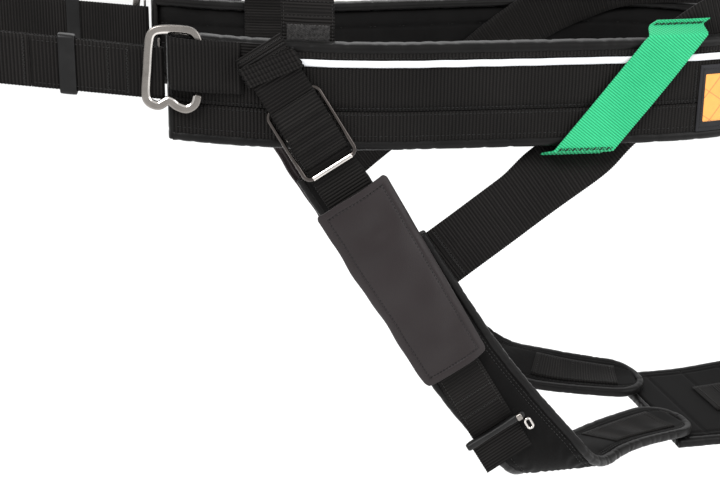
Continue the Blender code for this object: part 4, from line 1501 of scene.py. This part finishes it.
            def edge(s: float, w: float, n: float, sign: float = sign,
                     rim: Route = rim) -> Vector:
                """World point on the band's rim."""
                spot = rim.at(s) + rim.normal(s, 0.002) * w
                return self.on_band(spot.x, sign * spot.y, n)
            roll(self.name("band_roll_" + place_name), rim.length, 0.0040, 0.0045, edge,
                 HARNESS, (self.name("band_edge_" + place_name),), seed + int(self.side), 320,
                 crease=0.0006, spacing=0.012)
        Webbing(self.name("band_webbing"), 0.083, 0.037, HARNESS, rib=0.0024, cross=8,
                thickness=0.0013).build(
                    lambda s, w, n: self.on_band(length - 0.108 + s, w, n - 0.0046))
        rows = []
        for w in (-0.0205, 0.0205, 0.0232):
            for n in (0.0036, -0.0036):
                rows.append([self.on_band(s, w * self.tongue(s), n)
                             for s in line_points(0.004, length - 0.004, 0.0036)])
        for s in (length - 0.104, length - 0.068, length - 0.030):
            rows.append([self.on_band(s, w, -0.0056) for w in line_points(-0.016, 0.016, 0.0032)])
        for w in (-0.016, 0.016):
            rows.append([self.on_band(s, w, -0.0056)
                         for s in line_points(length - 0.104, length - 0.030, 0.0034)])
        stitches(self.name("band_stitches"), rows, HARNESS, Stuff.THREAD_GREY, 0.00032)


# ---- front hardware ------------------------------------------------------------------------
@dataclass
class FrontHardware:
    """One hook, its front strap, keeper and tie-in ring."""

    label: str
    side: float
    line: FrontLine
    strap_width: float = 0.038
    pin_u: float = 0.0285
    end_u: float = 0.2040

    def name(self, base: str) -> str:
        """A piece or node name with its side."""
        return base + "_" + self.label

    def at(self, u: float, v: float, n: float) -> Vector:
        """World point near this hook or strap."""
        return self.line.point(u, v, n, self.side)

    def build(self) -> None:
        """Builds every piece of this side's front hardware."""
        self.build_hook()
        self.build_strap()
        self.build_keeper()
        self.build_ring()

    def build_hook(self) -> None:
        """Open hook bent from flat bar, with an inner chamfer in brighter polished steel (polish
        plus a painted highlight), and its pin.
        """
        route = Route([(0.0000, 0.0190), (0.0000, 0.0320), (0.0002, 0.0450),
                       (0.0035, 0.0525), (0.0115, 0.0550), (0.0270, 0.0555),
                       (0.0335, 0.0525), (0.0358, 0.0440), (0.0374, 0.0280),
                       (0.0390, 0.0100), (0.0370, 0.0025), (0.0300, -0.0005),
                       (0.0225, 0.0030), (0.0160, -0.0015), (0.0095, -0.0035),
                       (0.0034, 0.0000), (0.0012, 0.0075)])
        length = route.length
        corners = [(-0.0033, 0.0), (-0.0033, 0.0009), (-0.0029, 0.0014), (-0.0024, 0.0017),
                   (0.0014, 0.0017), (0.0028, 0.0009), (0.0033, 0.0003), (0.0033, -0.0010),
                   (0.0026, -0.0017), (-0.0024, -0.0017), (-0.0031, -0.0012)]
        outline = Loop(corners)

        def section(s: float, turn: float) -> tuple[float, float]:
            """Half sizes of the section of the hook at a place."""
            spot = outline.at(turn * outline.length)
            end = min(s, length - s)
            full = 1.0 - 0.6 * max(0.0, 1.0 - end / 0.0024) ** 2.4
            return spot.x * full, spot.y * full

        def place(s: float, w: float, n: float) -> Vector:
            """World point on the hook."""
            spot = route.at(s) - route.normal(s) * w
            return self.at(spot.x, spot.y, n)
        body = self.name("hook")
        made = sweep(self.name("hook_plate"), length, 260, 44, section, place, Stuff.STEEL,
                     body, (self.name("g_hook"),))
        # The chamfer faces take the brighter polished steel: polish plus a painted highlight.
        made.data.materials.append(Stuff.POLISHED.material())
        low = sum((Vector(b) - Vector(a)).length for a, b in zip(corners[:4], corners[1:5]))
        high = low + (Vector(corners[5]) - Vector(corners[4])).length
        uv = made.data.uv_layers["flat"].data
        girth = 0.03
        for face in made.data.polygons:
            turn = sum(uv[i].uv.y for i in face.loop_indices) / face.loop_total / girth
            if low < turn * outline.length < high:
                face.material_index = 1

        def pin(s: float, turn: float) -> tuple[float, float]:
            """Half sizes of the hook's pin at a place."""
            head = 1.0 - 0.4 * max(0.0, 1.0 - min(s, 0.044 - s) / 0.0010) ** 2
            across, height = oval(0.00105, 0.00105)(s, turn)
            return across * head, height * head
        sweep(self.name("strap_pin"), 0.044, 40, 16, pin,
              lambda s, w, n: self.at(self.pin_u + w, 0.0045 + s, self.line.pin_n + n),
              Stuff.STEEL, body, (self.name("hook_pin"),))

    def turn(self, centre: float, radius: float, start: float, end: float) -> list:
        """Points of a turn round a bar."""
        angles = [math.radians(start + (end - start) * i / 8) for i in range(9)]
        return [(centre + radius * math.cos(a), self.line.pin_n + radius * math.sin(a))
                for a in angles]

    def build_strap(self) -> None:
        """Webbing doubled from the hook's pin to the ring, and its stitching."""
        back, front, pin_n = self.pin_u, self.end_u, self.line.pin_n
        near, far = pin_n + 0.0026, pin_n - 0.0026
        points = [(0.1210, near), (0.0800, near), (0.0420, near)]
        points += self.turn(back, 0.0026, 90, 270)
        points += [(0.0420, far), (0.0800, far), (0.1500, far), (front - 0.0140, pin_n - 0.0040)]
        points += self.turn(front, 0.0040, -90, 90)
        points += [(front - 0.0140, pin_n + 0.0040), (0.1600, near), (0.1216, near)]
        route = Route(points, smooth=False)

        def place(s: float, w: float, n: float) -> Vector:
            """World point on the strap."""
            spot = route.at(s) + route.normal(s, 0.0006) * n
            return self.at(spot.x, self.line.height(spot.x) + w, spot.y)
        Webbing(self.name("front_webbing"), route.length, self.strap_width, self.name("hook"),
                replaced=(self.name("front_strap"),), rib=0.0025, rib_height=0.00022,
                thickness=0.0013, cross=10).build(place)
        rows = []
        for u0 in (0.052, 0.066, 0.126, 0.180):
            rows.append([self.at(u0 + swing, self.line.height(u0) + w, near + 0.0011)
                         for w, swing in zigzag(-0.0172, 0.0172, 0.0013, 0.0013)])
        for w in (-0.0155, 0.0155):
            rows.append([self.at(u, self.line.height(u) + w, near + 0.0010)
                         for u in line_points(0.050, 0.120, 0.0034)])
        stitches(self.name("front_stitches"), rows, self.name("hook"), Stuff.THREAD_GREY, 0.0003)

    def build_keeper(self) -> None:
        """Moulded keeper that holds the strap's tail."""
        loop = round_frame(self.strap_width / 2 + 0.0022, 0.0050, 0.0018, 5)
        route = Loop(loop)

        def place(s: float, w: float, n: float) -> Vector:
            """World point on the keeper."""
            spot = route.at(s) - route.normal(s) * n
            u = 0.0950 + w
            return self.at(u, self.line.height(u) + spot.x, spot.y + self.line.pin_n)
        sweep(self.name("keeper_loop"), route.length, 140, 16, oval(0.0060, 0.0009, 4.0), place,
              Stuff.MOULDED, self.name("front_keeper_body"), (self.name("front_keeper"),),
              closed=True)

    def build_ring(self) -> None:
        """D-shaped forged ring with a straight bar."""
        bar, radius = 0.0040, 0.0048
        top = self.strap_width / 2 + 0.0060
        points = [Vector((0.0, y)) for y in (-top + radius, -0.008, 0.008, top - radius)]
        points += [Vector((0.0014, top - 0.0014)), Vector((radius, top))]
        points += [Vector((0.016 + top * math.cos(math.radians(90 - 7.5 * i)),
                           top * math.sin(math.radians(90 - 7.5 * i)))) for i in range(25)]
        points += [Vector((radius, -top)), Vector((0.0014, -top + 0.0014))]
        middle = self.line.height(self.end_u)

        def place(x: float, y: float, h: float) -> Vector:
            """World point on the ring."""
            return self.at(self.end_u + x, middle + y, self.line.pin_n + h)
        bar_ring(self.name("ring_bar"), points, oval(bar / 2, 0.0019, 2.3), place, Stuff.STEEL,
                 self.name("ring"), (self.name("tie_in_ring"),), 220, 18)


# ---- rear pad and riser --------------------------------------------------------------------
@dataclass
class Rear:
    """Yoke pad between the leg bands, and the riser up to the belt's back."""

    low_x: float = 0.228
    high_x: float = 0.372
    rise_x: float = 0.280
    half_width: float = 0.068
    thickness: float = 0.008
    level: float = -0.3508
    riser_width: float = 0.050
    riser_inside: float = 0.292 - 0.0108

    def height(self, x: float) -> float:
        """Height of the pad's middle at x."""
        share = max(0.0, (x - self.rise_x) / (self.high_x - self.rise_x))
        return self.level + 0.012 * share ** 2

    def half(self, x: float) -> float:
        """Half width of the pad at x."""
        share = (x - self.low_x) / (self.high_x - self.low_x)
        return self.half_width * (1.0 - 0.10 * max(0.0, (share - 0.6) / 0.4) ** 2)

    def place(self, s: float, w: float, n: float) -> Vector:
        """World point on the pad."""
        x = self.low_x + s
        return Vector((x, w / self.half_width * self.half(x), self.height(x) + n))

    def build(self) -> None:
        """Builds the pad, its edges, the riser and its slide."""
        length = self.high_x - self.low_x
        Pad("yoke_pad", length - 0.001, 2 * self.half_width + 0.004, self.thickness, HARNESS,
            lambda s, w, n: self.place(s + 0.0005, w, n), ("rear_pad",), fill=0.5, voxel=0.004,
            low=-0.0040, high=0.0040, carve=self.carve).build()
        for label, side in SIDES:
            def edge(s: float, w: float, n: float, side: float = side) -> Vector:
                """World point on the pad's edge."""
                x = self.low_x + s
                return Vector((x, side * (self.half(x) + 0.0014) + w, self.height(x) + n))
            roll("yoke_roll_" + label, length, 0.0041, 0.0044, edge, HARNESS,
                 ("rear_pad_edge_" + label,), 71 + int(side), 120, crease=0.0005,
                 spacing=0.012)

        def front(s: float, w: float, n: float) -> Vector:
            """World point on the pad's front edge."""
            return Vector((self.low_x + 0.0020 + w, s - self.half_width, self.level + n))
        roll("yoke_roll_front", 2 * self.half_width, 0.0036, 0.0044, front, HARNESS, (), 83,
             140, crease=0.0005, spacing=0.011)
        self.build_riser()
        self.build_slide()

    def carve(self, s: float, w: float, n: float) -> float:
        """Sewn lines across the pad."""
        sign = 1.0 if n > 0 else -1.0
        dents = math.exp(-((abs(w) - 0.060) / 0.0012) ** 2)
        dents += sum(math.exp(-((s - at) / 0.0014) ** 2) for at in (-0.040, 0.0, 0.040))
        return -0.0011 * sign * min(dents, 1.0)

    def build_riser(self) -> None:
        """Strap sewn on the pad, up to the inside of the belt's back."""
        lift = self.thickness / 2 + 0.0013
        inside = self.riser_inside
        route = Route([(0.292, self.height(0.292) + lift), (0.325, self.height(0.325) + lift),
                       (0.352, self.height(0.352) + lift + 0.0006),
                       (0.378, self.height(0.372) + lift + 0.0045),
                       (0.396, -0.312), (0.4010, -0.285), (0.3995, -0.258), (0.393, -0.235),
                       (0.373, -0.185), (0.353, -0.135), (0.333, -0.094), (0.314, -0.0695),
                       (0.296, -0.0545), (0.2826, -0.0432), (inside, -0.028),
                       (inside, 0.018)])

        def place(s: float, w: float, n: float) -> Vector:
            """World point on the riser."""
            spot = route.at(s) + route.normal(s) * n
            return Vector((spot.x, w, spot.y))
        Webbing("rear_riser_webbing", route.length, self.riser_width, HARNESS,
                replaced=("rear_riser",), rib=0.0028, rib_height=0.00026, cross=10,
                thickness=0.0013).build(place)
        rows = [[place(s0 + swing, w, 0.0011)
                 for w, swing in zigzag(-0.0225, 0.0225, 0.0015, 0.0013)]
                for s0 in (0.004, 0.020, 0.036, route.length - 0.006, route.length - 0.020)]
        rows += [[place(s, w, 0.0010) for s in line_points(0.004, 0.060, 0.0034)]
                 for w in (-0.022, 0.022)]
        stitches("rear_stitches", rows, HARNESS, Stuff.THREAD_GREY, 0.0003)

    def build_slide(self) -> None:
        """Steel slide on the riser."""
        start, end = Vector((0.3809, 0, -0.2048)), Vector((0.3651, 0, -0.1652))
        along = (end - start).normalized()
        out = Vector((along.z, 0, -along.x))
        middle = (start + end) / 2

        def place(x: float, y: float, h: float) -> Vector:
            """World point on the slide."""
            lean = 0.0035 * x / 0.015 + 0.0004
            return middle + along * x + Vector((0, y, 0)) + out * (lean + h)
        bar_ring("rear_slide_frame", round_frame(0.0150, self.riser_width / 2 + 0.0040, 0.0050),
                 oval(0.0020, 0.0015, 3.0), place, Stuff.STEEL, "rear_slide_body",
                 ("rear_slide",), 200, 16)


# ---- studio --------------------------------------------------------------------------------
@dataclass
class Studio:
    """Camera, soft lights and a plain pale floor."""

    place: tuple[float, float, float] = (-0.28391, -0.95575, 0.17710)
    pitch: float = 75.0
    heading: float = -10.0
    lens: float = 57.25
    shift: tuple[float, float] = (0.0806, -0.1069)
    floor_drop: float = 0.22

    def build(self) -> None:
        """Sets up the camera, lights and floor."""
        scene = bpy.context.scene
        camera = bpy.data.objects.new("camera", bpy.data.cameras.new("camera"))
        camera.location = self.place
        camera.rotation_euler = (math.radians(self.pitch), 0.0, math.radians(self.heading))
        camera.data.lens = self.lens
        camera.data.sensor_width = 36.0
        camera.data.shift_x, camera.data.shift_y = self.shift
        camera.data.clip_start = 0.01
        scene.collection.objects.link(camera)
        scene.camera = camera
        self.build_floor()
        world = bpy.data.worlds.new("studio")
        world.use_nodes = True
        back = world.node_tree.nodes["Background"]
        back.inputs["Color"].default_value = (1.0, 1.0, 1.0, 1.0)
        back.inputs["Strength"].default_value = 1.0
        scene.world = world
        scene.view_settings.view_transform = "Standard"
        for name, spot, aim, size, power in (
                ("key", (-1.1, -1.3, 1.5), (0.0, -0.1, -0.1), 0.9, 46.0),
                ("fill", (1.4, -1.2, 0.6), (0.1, 0.0, -0.1), 1.2, 16.0),
                ("rim", (0.4, 1.5, 1.4), (0.0, 0.0, -0.1), 1.0, 8.0)):
            self.light(name, Vector(spot), Vector(aim), size, power)

    def light(self, name: str, spot: Vector, aim: Vector, size: float, power: float) -> None:
        """Adds one soft area light."""
        data = bpy.data.lights.new(name, "AREA")
        data.energy, data.size = power, size
        made = bpy.data.objects.new(name, data)
        made.matrix_world = (Matrix.Translation(spot)
                             @ (aim - spot).to_track_quat("-Z", "Y").to_matrix().to_4x4())
        bpy.context.scene.collection.objects.link(made)

    def build_floor(self) -> None:
        """A large pale floor below the saddle."""
        bm = bmesh.new()
        bmesh.ops.create_grid(bm, x_segments=1, y_segments=1, size=30.0)
        bmesh.ops.translate(bm, verts=bm.verts,
                            vec=(0.0, 0.0, CAD_LOW[2] - self.floor_drop))
        mesh = bpy.data.meshes.new("floor")
        bm.to_mesh(mesh)
        bm.free()
        floor = bpy.data.objects.new("floor", mesh)
        finish = bpy.data.materials.new("floor_pale")
        finish.use_nodes = True
        shader = finish.node_tree.nodes["Principled BSDF"]
        shader.inputs["Base Color"].default_value = (0.93, 0.93, 0.93, 1.0)
        shader.inputs["Roughness"].default_value = 0.9
        mesh.materials.append(finish)
        bpy.context.scene.collection.objects.link(floor)
        floor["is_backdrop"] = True


def write_sizes() -> None:
    """Works out the plain model's box and the finished model's box, and logs the finished one."""
    low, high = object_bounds()
    sizes = {"cad": [list(map(float, CAD_LOW)), list(map(float, CAD_HIGH))],
             "visual": [list(map(float, low)), list(map(float, high))]}
    LOG.info("visual box %s to %s", sizes["visual"][0], sizes["visual"][1])


def main() -> None:
    """Builds the studio, then every part of the saddle."""
    logging.basicConfig(level=logging.INFO, format="%(name)s: %(message)s")
    Studio().build()
    Belt(BELT).build()
    BeltStraps(BELT).build()
    Rear().build()
    for label, side in SIDES:
        LegLoop(label, side, LEG, BELT, BAND).build()
        FrontHardware(label, side, FRONT).build()
    write_sizes()


if __name__ == "__main__":
    main()
